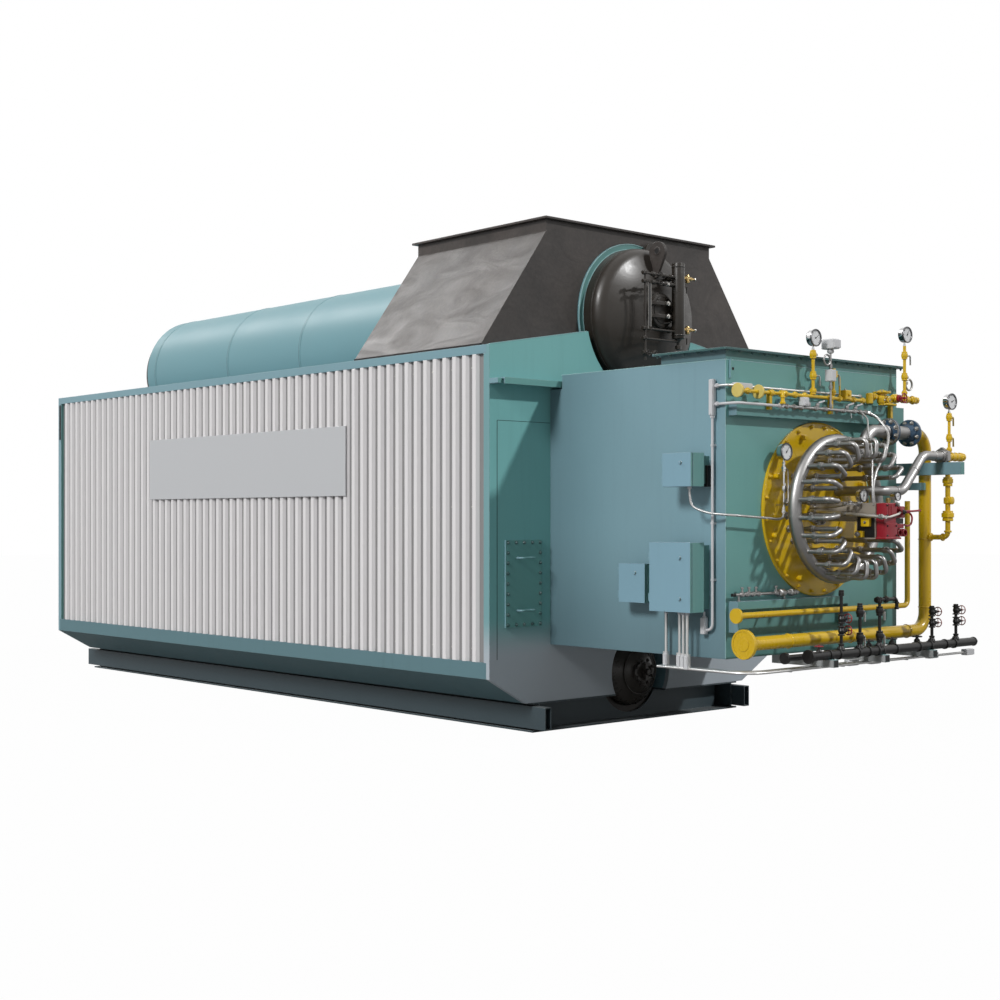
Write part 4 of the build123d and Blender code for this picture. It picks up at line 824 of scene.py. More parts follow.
def buildGasLineTrim():
    f = flangeFacts
    bolts, ringsBlue, yellow, steel = [], [], [], []
    for x in (0.673, 0.99):
        places = circlePlaces((x, f["y"], f["z"]), f["circle"], f["bolts"], 22.5, "yz")
        bolts.append(copies(boltHead(0.026), places, toLeft, toRear))
    for x in (0.695, 0.968):
        away = 1 if x < 0.8 else -1
        hub = lathe([(0.08, 0), (0.078, 0.012), (0.06, 0.034), (0.052, 0.046)], 32)
        ringsBlue.append(turnedTo(hub, (x, f["y"], f["z"]), (away, 0, 0)))
        places = circlePlaces((x, f["y"], f["z"]), f["circle"], f["bolts"], 22.5, "yz")
        bolts.append(copies(boltHead(0.026), places, (away, 0, 0), toRear))
    steel += placed(
        (ringBand([(0.0515, 0), (0.0535, 0.002), (0.0535, 0.172), (0.0515, 0.174)], 40), (0.745, f["y"], f["z"]),
         toRight),
        (bead(0.052, 0.009, 32), (0.64, f["y"], f["z"]), toLeft))
    gasket = ringBand([(0.095, -0.002), (0.1105, -0.002), (0.1105, 0.002), (0.095, 0.002)], 40)
    steel += [turnedTo(gasket, (x, f["y"], f["z"]), toRight) for x in (0.673, 0.99)]
    for x in (-0.62, 0.16, 0.52, 0.93):
        yellow.append(turnedTo(bead(0.0512, 0.01, 36), (x, f["y"], 0.838), toRight))
    for x in (-1.114, -1.1):
        yellow.append(turnedTo(bead(0.0515, 0.012, 36), (x, f["y"], 0.838), toRight))
    yellow += placed(
        (ringBand([(0.092, 0), (0.1095, 0), (0.108, 0.004), (0.094, 0.004)], 56), (-1.136, f["y"], 0.838), toLeft),
        (rounded(0.052, 0.006, 0.003, 40), (-1.135, f["y"], 0.838), toLeft))
    for z in (1.02, 1.58, 2.28):
        yellow.append(turnedTo(bead(0.0512, 0.01, 36), (1.207, f["y"], z)))
    putPieces(
        ("flangeBolts", bolts, "boltSteel", "galvanised"),
        ("flangeHubs", ringsBlue, "flange_blue", "flange_blue"),
        ("spoolSleeve", steel, "stainless", "stainless"),
        ("gasWelds", yellow, "gas_yellow", "gas_yellow"))


buildGauges()
buildHoses()
buildCornerConduit()
buildInjectorFittings()
buildPlateBolts()
buildGasLineTrim()
print("stage: gauges, hoses, conduits and gas fittings")


# pilot gas line: unions, ball valves with levers, blind discs and the regulator cluster

pilotFacts = {"y": -5.772, "z": 2.7, "right": 2.74}


def lever(place, away, drop=0.075, width=0.014):
    # a bent strip that leaves a valve's stem, steps out and hangs down
    x, y, z = place
    dx, dy = away
    path = [(x, y, z + 0.004), (x + dx * 0.022, y + dy * 0.022, z + 0.004), (x + dx * 0.034, y + dy * 0.034, z - 0.006),
            (x + dx * 0.036, y + dy * 0.036, z - drop)]
    return strip(roundPath(path, 0.008, 4), width, 0.004, (-dy, dx, 0))


def pipeRun(points, radius, bend=0.03, sides=16):
    return tubeAlong(roundPath(points, bend), radius, sides)


def elbowRings(points, radius, height=0.012):
    # a thick lip on both sides of every corner of a threaded run
    shells = []
    points = np.array(points, float)
    for before, corner, after in zip(points, points[1:], points[2:]):
        for other in (before, after):
            way = (other - corner) / np.linalg.norm(other - corner)
            shells.append(turnedTo(rounded(radius * 1.32, height, 0.002, 16), corner + way * radius * 1.6, way))
    return shells


def buildPilotLine():
    y, z = pilotFacts["y"], pilotFacts["z"]
    yellow, pale, levers, red, dark = [], [], [], [], []
    yellow.append(tubeAlong([(-1.07, y, z), (0.48, y, z)], 0.0135, 18))
    for x in (-1.086, -0.846):
        pale.append(turnedTo(rounded(0.054, 0.014, 0.003, 36), (x, y, z), toRight))
        yellow.append(turnedTo(lathe([(0.05, 0), (0.05, 0.008), (0.03, 0.018), (0.0175, 0.036)], 32), (x + 0.013, y, z),
                               toRight))
    for x in (-0.985, -0.7, -0.42, -0.3, 0.02, 0.145, 0.33, 0.455):
        yellow.append(turnedTo(union(0.0155, 0.042), (x, y, z), toRight))
    yellow.append(pipeRun([(-0.56, y, z), (-0.56, y - 0.05, z), (-0.611, y - 0.05, z), (-0.611, y - 0.05, z - 0.075)],
                          0.015, 0.016))
    yellow.append(turnedTo(lathe([(0.02, 0), (0.027, 0.005), (0.027, 0.062), (0.02, 0.067)], 20), (-0.575, y, z),
                           toRight))
    yellow += elbowRings([(-0.56, y - 0.05, z), (-0.611, y - 0.05, z), (-0.611, y - 0.05, z - 0.075)], 0.015)
    yellow.append(turnedTo(nut(0.04, 0.016), (-0.611, y - 0.05, z - 0.082)))
    lx = gaugeFacts["places"][0][0]
    yellow.append(tubeAlong([(lx, y, z), (lx, y, 3.06)], 0.013, 16))
    yellow.append(turnedTo(union(0.018, 0.05), (lx, y, z + 0.014)))
    for top in (2.862, 3.025):
        yellow.append(turnedTo(ballValve(0.019, 0.062), (lx, y, top - 0.031)))
        dark.append(turnedTo(rounded(0.01, 0.03, 0.002, 12), (lx + 0.02, y, top), toRight))
    levers += [
        lever((lx + 0.048, y, 2.862), (1, 0)),
        lever((0.115, y - 0.01, 2.885), (1, 0), 0.085)]
    yellow += [
        tubeAlong([(0.09, y, z), (0.09, y, 2.93)], 0.011, 14),
        slab((0.065, y - 0.025, 2.86), (0.115, y + 0.025, 2.915), 0.004, 0.008),
        pipeRun([(0.09, y, 2.885), (0.17, y, 2.885), (0.17, y, 2.7)], 0.008, 0.03),
        slab((0.205, y - 0.038, z - 0.005), (0.28, y + 0.038, z + 0.07), 0.004, 0.006)]
    yellow += placed(
        (union(0.014, 0.04), (0.09, y, 2.725)),
        (nut(0.036, 0.02), (0.09, y, 2.84)),
        (rounded(0.018, 0.02), (0.09, y, 2.912)))
    yellow.append(turnedTo(rounded(0.012, 0.012, 0.002, 14), (0.2425, y - 0.038, z + 0.035), toFront))
    dark.append(turnedTo(boltHead(0.018), (0.2425, y, z + 0.068)))
    for x in (-0.7, 0.06):
        yellow.append(slab((x - 0.015, y - 0.008, 2.574), (x + 0.015, -5.7485, z - 0.012), 0.002))
        yellow.append(turnedTo(collar(0.0172, 0.022, 0, 0.03, 24), (x - 0.015, y, z), toRight))

    h = pilotFacts["right"]
    yellow.append(tubeAlong([(0.56, y, h), (1.245, y, h)], 0.0175, 18))
    yellow += placed(
        (lathe([(0.024, 0), (0.03, 0.006), (0.03, 0.08), (0.024, 0.086)], 20), (0.57, y, h - 0.06)),
        (union(0.019, 0.045), (0.605, y, h), toRight),
        (lathe([(0.03, 0), (0.04, 0.012), (0.04, 0.045), (0.028, 0.06)], 24), (0.74, y, h - 0.016)),
        (lathe([(0.026, 0), (0.064, 0.01), (0.074, 0.013), (0.074, 0.022), (0.064, 0.026), (0.03, 0.034), (0.016, 0.04)],
            40), (0.74, y, h + 0.022)))
    dark.append(copies(boltHead(0.01), circlePlaces((0.74, y, h + 0.044), 0.068, 10, 0, "xy")))
    for x, r in ((0.7, 0.034), (0.78, 0.03)):
        low = y - 0.02
        yellow += placed(
            (lathe([(r * 0.55, 0), (r * 0.9, 0.008), (r, 0.02), (r, 0.052), (r * 0.7, 0.066)], 24),
             (x, low, h - 0.056)),
            (nut(r * 1.2, 0.014), (x, low, h - 0.066)))
        dark.append(turnedTo(boltHead(0.014), (x, low - r + 0.004, h - 0.026), toFront))
    yellow.append(pipeRun([(0.7, y - 0.02, h - 0.06), (0.7, y - 0.07, h - 0.06), (0.85, y - 0.07, h - 0.06),
                           (0.85, y, h - 0.06), (0.85, y, h)], 0.008, 0.018, 10))
    yellow.append(turnedTo(ballValve(0.026, 0.082), (0.893, y, h), toRight))
    red += placed(
        (rounded(0.03, 0.05, 0.006, 24), (0.934, y, h), toFront),
        (handwheel(0.042), (0.934, y - 0.085, h), toFront),
        (rounded(0.01, 0.045), (0.934, y - 0.045, h), toFront))
    rx = gaugeFacts["places"][1][0]
    yellow.append(tubeAlong([(rx, y, h), (rx, y, 3.18)], 0.013, 16))
    yellow += placed(
        (lathe([(0.024, 0), (0.032, 0.006), (0.032, 0.074), (0.024, 0.08)], 24), (rx - 0.04, y, h), toRight),
        (union(0.016, 0.045), (rx, y, h + 0.028)))
    for top in (2.927, 3.103):
        yellow.append(turnedTo(ballValve(0.019, 0.062), (rx, y, top - 0.031)))
        dark.append(turnedTo(rounded(0.01, 0.03, 0.002, 12), (rx + 0.02, y, top), toRight))
    levers.append(lever((rx + 0.048, y, 3.103), (1, 0)))
    dark += placed(
        (torus(0.045, 0.009, 36, 12), (rx + 0.062, y, 2.865), toRear),
        (nut(0.026, 0.016), (rx + 0.018, y, 2.875), toRight))
    yellow.append(slab((0.855, y - 0.008, 2.574), (0.885, -5.7485, h - 0.018), 0.002))
    yellow += placed(
        (union(0.022, 0.06), (1.145, y, h), toRight),
        (lathe([(0.026, 0), (0.03, 0.004), (0.03, 0.03), (0.02, 0.04)], 8), (1.21, y, h), toRight))
    putPieces(
        ("pilotGasLine", yellow, "gas_yellow", "gas_yellow", "boiler", "pilot_gas_line"),
        ("pilotBlinds", pale, "paleYellow", "gas_yellow"),
        ("pilotLevers", levers, "conduitWhite", "galvanised"),
        ("pilotRedValve", red, "actuator_red", "actuator_red"),
        ("pilotDarkBits", dark, "boltSteel", "pipe_black"))


# steel instrument line, its fittings and the transmitter

steelFacts = {"y": -5.798, "z": 2.605, "lowY": -5.717, "lowZ": 1.19}


def buildSteelLine():
    y, z = steelFacts["y"], steelFacts["z"]
    steel, levers, black, body = [], [], [], []
    steel.append(tubeAlong([(-0.578, y, z), (0.5, y, z)], 0.0115, 16))
    fitting = union(0.0125, 0.045)
    for x in (-0.56, -0.47, -0.38, -0.2, -0.08, 0.16, 0.3, 0.38, 0.455):
        steel.append(turnedTo(fitting, (x, y, z), toRight))
    for x in (-0.38, 0.16):
        steel.append(tubeAlong([(x, y, z), (x, -5.7485, z)], 0.009, 12))
        steel.append(turnedTo(rounded(0.02, 0.006), (x, -5.755, z), toRear))
    for x in (-0.26, -0.15, 0.23, 0.345):
        steel.append(tubeAlong([(x, y, z), (x, y, z + 0.045)], 0.007, 10))
        steel.append(turnedTo(ballValve(0.011, 0.035), (x, y, z + 0.01)))
    for x in (-0.15, 0.23, 0.345):
        levers.append(strip([(x, y - 0.012, z + 0.046), (x + 0.02, y - 0.02, z + 0.052),
                             (x + 0.052, y - 0.03, z + 0.062)], 0.012, 0.003, (0, 0, 1)))
    levers += [tubeAlong([(x, y, z - 0.008), (x + 0.004, y - 0.006, z - 0.052)], 0.004, 8) for x in (0.28, 0.43)]
    body += [
        slab((-0.36, y - 0.03, z + 0.012), (-0.29, y + 0.02, z + 0.078), 0.004, 0.006),
        slab((-0.345, y - 0.034, z + 0.024), (-0.305, y - 0.028, z + 0.066), 0.002)]
    tx = 0.017
    steel.append(tubeAlong([(tx, y, z), (tx, y, 3.06)], 0.008, 12))
    steel += [turnedTo(union(0.01, 0.036), (tx, y, at)) for at in (z + 0.012, 2.76, 2.925)]
    body += [
        slab((tx - 0.03, y - 0.034, 2.826), (tx + 0.03, y + 0.034, 2.916), 0.004, 0.005),
        slab((tx - 0.042, y - 0.062, 3.077), (tx + 0.042, y + 0.062, 3.154), 0.006, 0.012),
        slab((tx - 0.038, y - 0.069, 3.084), (tx + 0.038, y - 0.062, 3.148), 0.003)]
    body += placed(
        (lathe([(0.012, 0), (0.024, 0.006), (0.028, 0.02), (0.02, 0.036)], 20), (tx, y, 3.042)),
        (union(0.01, 0.024), (tx + 0.04, y + 0.02, 3.115), toRight))
    steel += placed(
        (torus(0.04, 0.0075, 36, 12), (tx - 0.045, y, 2.99), toRear),
        (nut(0.022, 0.014), (tx - 0.012, y, 2.99), toRight))
    low, lz = steelFacts["lowY"], steelFacts["lowZ"]
    steel.append(tubeAlong([(-1.06, low, lz), (-0.285, low, lz)], 0.0115, 16))
    black.append(tubeAlong([(-1.076, low, lz), (-1.04, low, lz)], 0.013, 14))
    for x in (-0.985, -0.93, -0.86, -0.79, -0.58, -0.5, -0.42, -0.34):
        steel.append(turnedTo(fitting, (x, low, lz), toRight))
    for x in (-0.96, -0.88, -0.8, -0.56):
        steel.append(tubeAlong([(x, low, lz), (x, low, lz + 0.042)], 0.007, 10))
        steel += placed(
            (nut(0.022, 0.014), (x, low, lz + 0.012)),
            (rounded(0.013, 0.014, 0.002, 12), (x, low, lz + 0.042)))
    steel += placed(
        (ballValve(0.022, 0.08), (-0.54, low, lz), toRight),
        (ballValve(0.02, 0.06), (-0.4, low, lz), toRight))
    for x in (-1.0, -0.46):
        steel.append(tubeAlong([(x, low, 1.1423), (x, low, lz)], 0.008, 10))
        steel.append(turnedTo(rounded(0.018, 0.005), (x, low, 1.1423)))
    putPieces(
        ("steelLine", steel, "stainless", "stainless", "boiler", "steel_line"),
        ("transmitter", body, "conduitWhite", "galvanised"),
        ("steelLevers", levers, "conduitWhite", "galvanised"),
        ("lineEndCap", black, "pipe_black", "pipe_black"))


# the branch on the riser: elbow, unions, tee and its gauge stem; the large union of the bent pipe

branchFacts = {"x": 1.207, "y": -6.088, "low": 1.604, "top": 2.262, "stem": 1.227}


def buildBranch():
    f = branchFacts
    x, y, low, top, sx = f["x"], f["y"], f["low"], f["top"], f["stem"]
    yellow, silver = [], []
    run = [(x, -5.9233, low), (x, y, low), (x, y, top)]
    yellow.append(pipeRun(run, 0.021, 0.045, 20))
    yellow += elbowRings(run, 0.024, 0.016)
    yellow.append(tubeAlong([(x - 0.03, y, top), (x + 0.225, y, top)], 0.031, 24))
    yellow += placed(
        (rounded(0.034, 0.012), (x, -5.925, low), toFront),
        (union(0.034, 0.085, 0.098), (x, y, 1.735)),
        (lathe([(0.026, 0), (0.034, 0.006), (0.034, 0.05), (0.026, 0.056)], 24), (x, y, 1.875)),
        (lathe([(0.026, 0), (0.032, 0.006), (0.032, 0.026), (0.022, 0.03)], 20), (x - 0.005, y - 0.02, 1.903), toFront),
        (union(0.03, 0.075, 0.084), (x, y, 2.02)),
        (lathe([(0.034, 0), (0.04, 0.006), (0.04, 0.03), (0.034, 0.036)], 28), (x - 0.05, y, top), toRight))
    for at in (x + 0.035, x + 0.1, x + 0.165):
        yellow.append(turnedTo(rounded(0.037, 0.016, 0.003, 28), (at, y, top), toRight))
    yellow.append(tubeAlong([(sx, y, top), (sx, y, 2.619)], 0.012, 14))
    yellow += placed(
        (lathe([(0.036, 0), (0.036, 0.02), (0.024, 0.03)], 8), (x + 0.198, y, top), toRight),
        (union(0.016, 0.045), (sx, y, top + 0.03)))
    paleLevers = []
    for at in (2.415, 2.585):
        yellow.append(turnedTo(ballValve(0.018, 0.062), (sx, y, at - 0.031)))
        paleLevers.append(lever((sx + 0.026, y, at), (1, 0), 0.07))
    silver.append(turnedTo(merged([rounded(0.047, 0.07, 0.004, 28), turnedTo(nut(0.128, 0.034), (0, 0, 0.018)),
                                   turnedTo(nut(0.108, 0.016), (0, 0, 0.058))]), (1.09, y, top), toRight))
    for place, way in (((0.99, y, top), toRight), ((0.72, y, 2.137), (0.7, 0, 0.7)), ((0.46, y, 1.972), toLeft)):
        silver.append(turnedTo(bead(0.0385, 0.006, 28), place, way))
    putPieces(
        ("branchRiser", yellow, "gas_yellow", "gas_yellow", "boiler", "branch_riser"),
        ("branchLevers", paleLevers, "paleYellow", "gas_yellow"),
        ("bendPipeUnion", silver, "stainless", "stainless"))


# drain valves: gate valves with handwheels, ball valves with hanging levers

drainFacts = {
    "largeY": -6.108, "smallY": -5.998, "largeTop": 0.7706, "smallTop": 0.7506,
    "stacks": [(-0.273, 1.217, (0.91, 1.0), False), (-0.035, 1.11, (0.85, 1.04), True),
               (0.222, 1.147, (0.85, 1.04), True), (0.944, 1.054, (0.915, 1.005), False),
               (1.294, 1.056, (0.915, 1.005), False)],
    "lineValves": (0.239, 0.55, 0.9), "sideArm": 0.23,
}


def gateBody():
    # two flanges with a swollen body between them, along z, and a bonnet with its stem towards x
    body = lathe([(0.018, -0.036), (0.027, -0.036), (0.027, -0.027), (0.017, -0.024), (0.022, -0.012), (0.026, 0),
                  (0.022, 0.012), (0.017, 0.024), (0.027, 0.027), (0.027, 0.036), (0.018, 0.036)], 16)
    bonnet = turnedTo(lathe([(0.026, 0), (0.026, 0.01), (0.015, 0.016), (0.011, 0.034), (0.016, 0.038), (0.014, 0.046)],
                            16), (0.014, 0, 0), toRight)
    stem = turnedTo(lathe([(0.005, 0), (0.005, 0.036)], 8), (0.055, 0, 0), toRight)
    return merged([body, bonnet, stem])


def buildDrains():
    f = drainFacts
    y, base = f["largeY"], f["largeTop"]
    black, wheels, pinkWheels, levers = [], [], [], []
    for n, (x, top, heights, hasLevers) in enumerate(f["stacks"]):
        black.append(tubeAlong([(x, y, base - 0.004), (x, y, top)], 0.0125, 14))
        black += placed(
            (lathe([(0.03, 0), (0.026, 0.012), (0.018, 0.03), (0.022, 0.034), (0.022, 0.046)], 20),
             (x, y, base - 0.004)),
            (nut(0.04, 0.028), (x, y, top - 0.044)),
            (rounded(0.02, 0.016), (x, y, top - 0.016)),
            (collar(0.0342, 0.041, 0, 0.016, 28), (x - 0.045, y, 0.7363), toRight),
            (boltHead(0.018), (x - 0.037, y, 0.7765)))
        for z in heights:
            if hasLevers:
                black += placed(
                    (ballValve(0.021, 0.072), (x, y, z - 0.036)),
                    (rounded(0.011, 0.03), (x + 0.024, y, z), toRight))
                levers.append(strip(roundPath([(x + 0.045, y, z + 0.012), (x + 0.052, y, z + 0.004),
                                               (x + 0.062, y, z - 0.012),
                                               (x + 0.063, y, z - 0.074)], 0.006, 4), 0.016, 0.005))
            else:
                black.append(turnedTo(gateBody(), (x, y, z)))
                (wheels if n == 0 else pinkWheels).append(turnedTo(handwheel(0.038), (x + 0.086, y, z), toRight))
    x, top = f["stacks"][2][:2]
    arm = [(x, y, top - 0.02), (x + f["sideArm"], y, top - 0.02), (x + f["sideArm"], y, top - 0.1)]
    black.append(pipeRun(arm, 0.014, 0.03))
    black += elbowRings(arm, 0.015)
    black += placed(
        (nut(0.034, 0.018), (x + f["sideArm"], y, top - 0.102)),
        (union(0.016, 0.05), (x + 0.06, y, top - 0.02), toRight),
        (union(0.016, 0.04), (x - 0.05, y, top - 0.02), toRight))
    z = f["smallTop"]
    for x in f["lineValves"]:
        black += placed(
            (lathe([(0.02, 0), (0.026, 0.01), (0.024, 0.03), (0.014, 0.04), (0.01, 0.052)], 16),
             (x, f["smallY"], z - 0.004)),
            (handwheel(0.042), (x, f["smallY"], z + 0.052)))
        for side in (-1, 1):
            black.append(turnedTo(collar(0.0242, 0.034, 0, 0.012, 24), (x + side * 0.045, f["smallY"], 0.7263),
                                  toRight))
    wheels.append(turnedTo(handwheel(0.034), (-0.55, f["largeY"], 0.808)))
    black.append(turnedTo(lathe([(0.022, 0), (0.016, 0.016), (0.008, 0.022), (0.007, 0.04)], 14),
                          (-0.55, f["largeY"], 0.77)))
    for x in (-0.44, 0.06, 0.42, 0.74, 1.12):
        black.append(turnedTo(collar(0.0342, 0.041, 0, 0.014, 28), (x, y, 0.7363), toRight))
    black.append(pipeRun([(1.558, y, 0.7363), (1.608, y, 0.7363), (1.608, f["smallY"], 0.7263),
                          (1.558, f["smallY"], 0.7263)], 0.024, 0.04, 18))
    black.append(turnedTo(rounded(0.038, 0.014, 0.003, 28), (1.548, y, 0.7363), toRight))
    putPieces(
        ("drainValves", black, "pipe_black", "pipe_black", "boiler", "drain_valves"),
        ("redWheels", wheels, "actuator_red", "actuator_red"),
        ("paleWheels", pinkWheels, "wheelPink", "actuator_red"),
        ("drainLevers", levers, "dialWhite", "galvanised"))


# the red actuator on the control block, the silver rod beside it and what is on the block

gunFacts = {"blockFront": -6.262, "front": -6.345}


def buildActuator():
    f = gunFacts
    back, front = f["blockFront"], f["front"]
    red, dark, silver, brass, yellow = [], [], [], [], []
    red += [
        slab((-0.045, front, 1.762), (0.105, back - 0.0003, 1.873), 0.004, 0.006),
        slab((-0.045, front + 0.012, 1.722), (0.105, back - 0.0003, 1.764), 0.003),
        slab((-0.045, front - 0.004, 1.604), (0.105, back - 0.0003, 1.724), 0.004, 0.006),
        slab((-0.055, front - 0.006, 1.6), (0.15, back - 0.0003, 1.614), 0.002)]
    red += [slab((x - 0.004, front - 0.004, 1.766), (x + 0.004, front + 0.02, 1.868), 0.001)
            for x in (-0.03, 0.0, 0.03)]
    for x in (0.155, 0.222):
        red.append(turnedTo(lathe([(0.026, 0), (0.03, 0.004), (0.03, 0.072), (0.027, 0.078), (0.02, 0.078),
                                   (0.019, 0.05)], 24), (x, back - 0.0003, 1.648), toFront))
        dark.append(turnedTo(rounded(0.0185, 0.004, 0.001, 20), (x, back - 0.055, 1.648), toFront))
    red += [
        slab((0.11, back - 0.04, 1.68), (0.262, back - 0.0003, 1.715), 0.004, 0.006),
        slab((0.12, back - 0.05, 1.76), (0.262, back - 0.0003, 1.85), 0.006, 0.01)]
    hub = (0.185, back - 0.05, 1.805)
    red += [
        strip([(0.185, back - 0.082, 1.805), (0.15, back - 0.084, 1.83), (0.105, back - 0.084, 1.862)], 0.02, 0.008,
              (0, 0, 1)),
        pipeRun([(0.2, back - 0.085, 1.812), (0.3, back - 0.085, 1.812), (0.412, back - 0.085, 1.818)], 0.008, 0.03, 12)]
    red.append(turnedTo(lathe([(0.034, 0), (0.036, 0.004), (0.034, 0.02), (0.022, 0.026), (0.018, 0.04)], 28), hub,
                        toFront))
    dark.append(turnedTo(boltHead(0.026), (hub[0], hub[1] - 0.038, hub[2]), toFront))
    silver.append(turnedTo(rounded(0.01, 0.045, 0.003, 14), (0.125, back - 0.086, 1.85), (-0.75, 0, 0.66)))
    loop = smoothPath([(0.262, back - 0.04, 1.8), (0.315, back - 0.05, 1.8), (0.345, back - 0.055, 1.765),
                       (0.33, back - 0.055, 1.715), (0.285, back - 0.05, 1.7), (0.262, back - 0.04, 1.71)], 40)
    red.append(tubeAlong(loop, 0.0075, 12))
    dark.append(slab((0.115, back - 0.036, 1.716), (0.258, back - 0.0003, 1.758), 0.002))
    for x in (-0.028, 0.088):
        for z in (1.628, 1.7, 1.78, 1.855):
            dark.append(turnedTo(boltHead(0.013), (x, front - 0.001, z), toFront))
    rod = [(-0.112, -5.705, 1.818), (-0.112, -6.398, 1.765)]
    bright = [tubeAlong(rod, 0.013, 18)]
    way = np.array(rod[1], float) - np.array(rod[0], float)
    for share in (0.02, 0.42, 0.9):
        silver.append(turnedTo(union(0.013, 0.045), np.array(rod[0]) + way * share, way))
    bright.append(pipeRun([(-0.112, -6.385, 1.766), (-0.03, -6.372, 1.768), (0.1, -6.36, 1.79), (0.175, -6.33, 1.805)],
                          0.009, 0.02, 10))
    silver += [
        slab((-0.1, -6.1, 1.783), (-0.055, -6.07, 1.8), 0.002),
        tubeAlong(smoothPath([(-0.055, -6.13, 1.84), (-0.11, -6.12, 1.86), (-0.14, -6.08, 1.865), (-0.14, -6.0, 1.85),
            (-0.12, -5.86, 1.84), (-0.11, -5.7, 1.84)], 40), 0.006, 10)]
    for at in ((-0.14, -6.085, 1.878), (-0.105, -6.135, 1.872), (-0.14, -6.03, 1.87)):
        silver.append(turnedTo(union(0.009, 0.032), at, toRight))
    yellow += [
        slab((-0.086, -6.225, 1.695), (-0.055, -6.15, 1.76), 0.003, 0.004),
        slab((-0.086, -6.165, 1.612), (-0.055, -6.1, 1.662), 0.003, 0.004)]
    silver += placed(
        (boltHead(0.016), (-0.086, -6.187, 1.727), toLeft),
        (union(0.012, 0.036), (-0.086, -6.132, 1.637), toLeft))
    dark.append(slab((-0.0575, -6.255, 1.612), (-0.0545, -6.1, 1.775), 0.001))
    for yy in (-6.245, -6.11):
        for z in (1.788, 1.862):
            silver.append(turnedTo(boltHead(0.012), (-0.0548, yy, z), toLeft))
    silver.append(copies(boltHead(0.022), circlePlaces((0, -5.712, 1.81), 0.092, 8, 22.5), toFront, toRight))
    brass += placed(
        (union(0.012, 0.04), (0.23, -6.18, 1.875)),
        (nut(0.03, 0.016), (0.03, -6.183, 1.8752)))
    putPieces(
        ("actuatorRed", red, "actuator_red", "actuator_red", "boiler", "burner_actuator"),
        ("actuatorDark", dark, "pipe_black", "pipe_black"),
        ("gunLinkRod", bright, "rodSilver", "stainless"),
        ("gunRod", silver, "stainless", "stainless"),
        ("gunYellow", yellow, "gas_yellow", "gas_yellow"),
        ("gunBrass", brass, "brass", "brass"))


# steam drum: column, gauge glass, cocks, manway cover, lug plate; lower drum's hand hole

drumFacts = {"y": -4.116, "x": 0.13, "low": 3.306, "high": 3.966, "glass": -0.287}


def headFront(r):
    # how far the dished head stands in front of its rim at a radius from its axis
    crown = (0.4917**2 + 0.22**2 - 0.12**2) / 0.2
    return 0.22 - crown + math.sqrt(crown**2 - r**2)


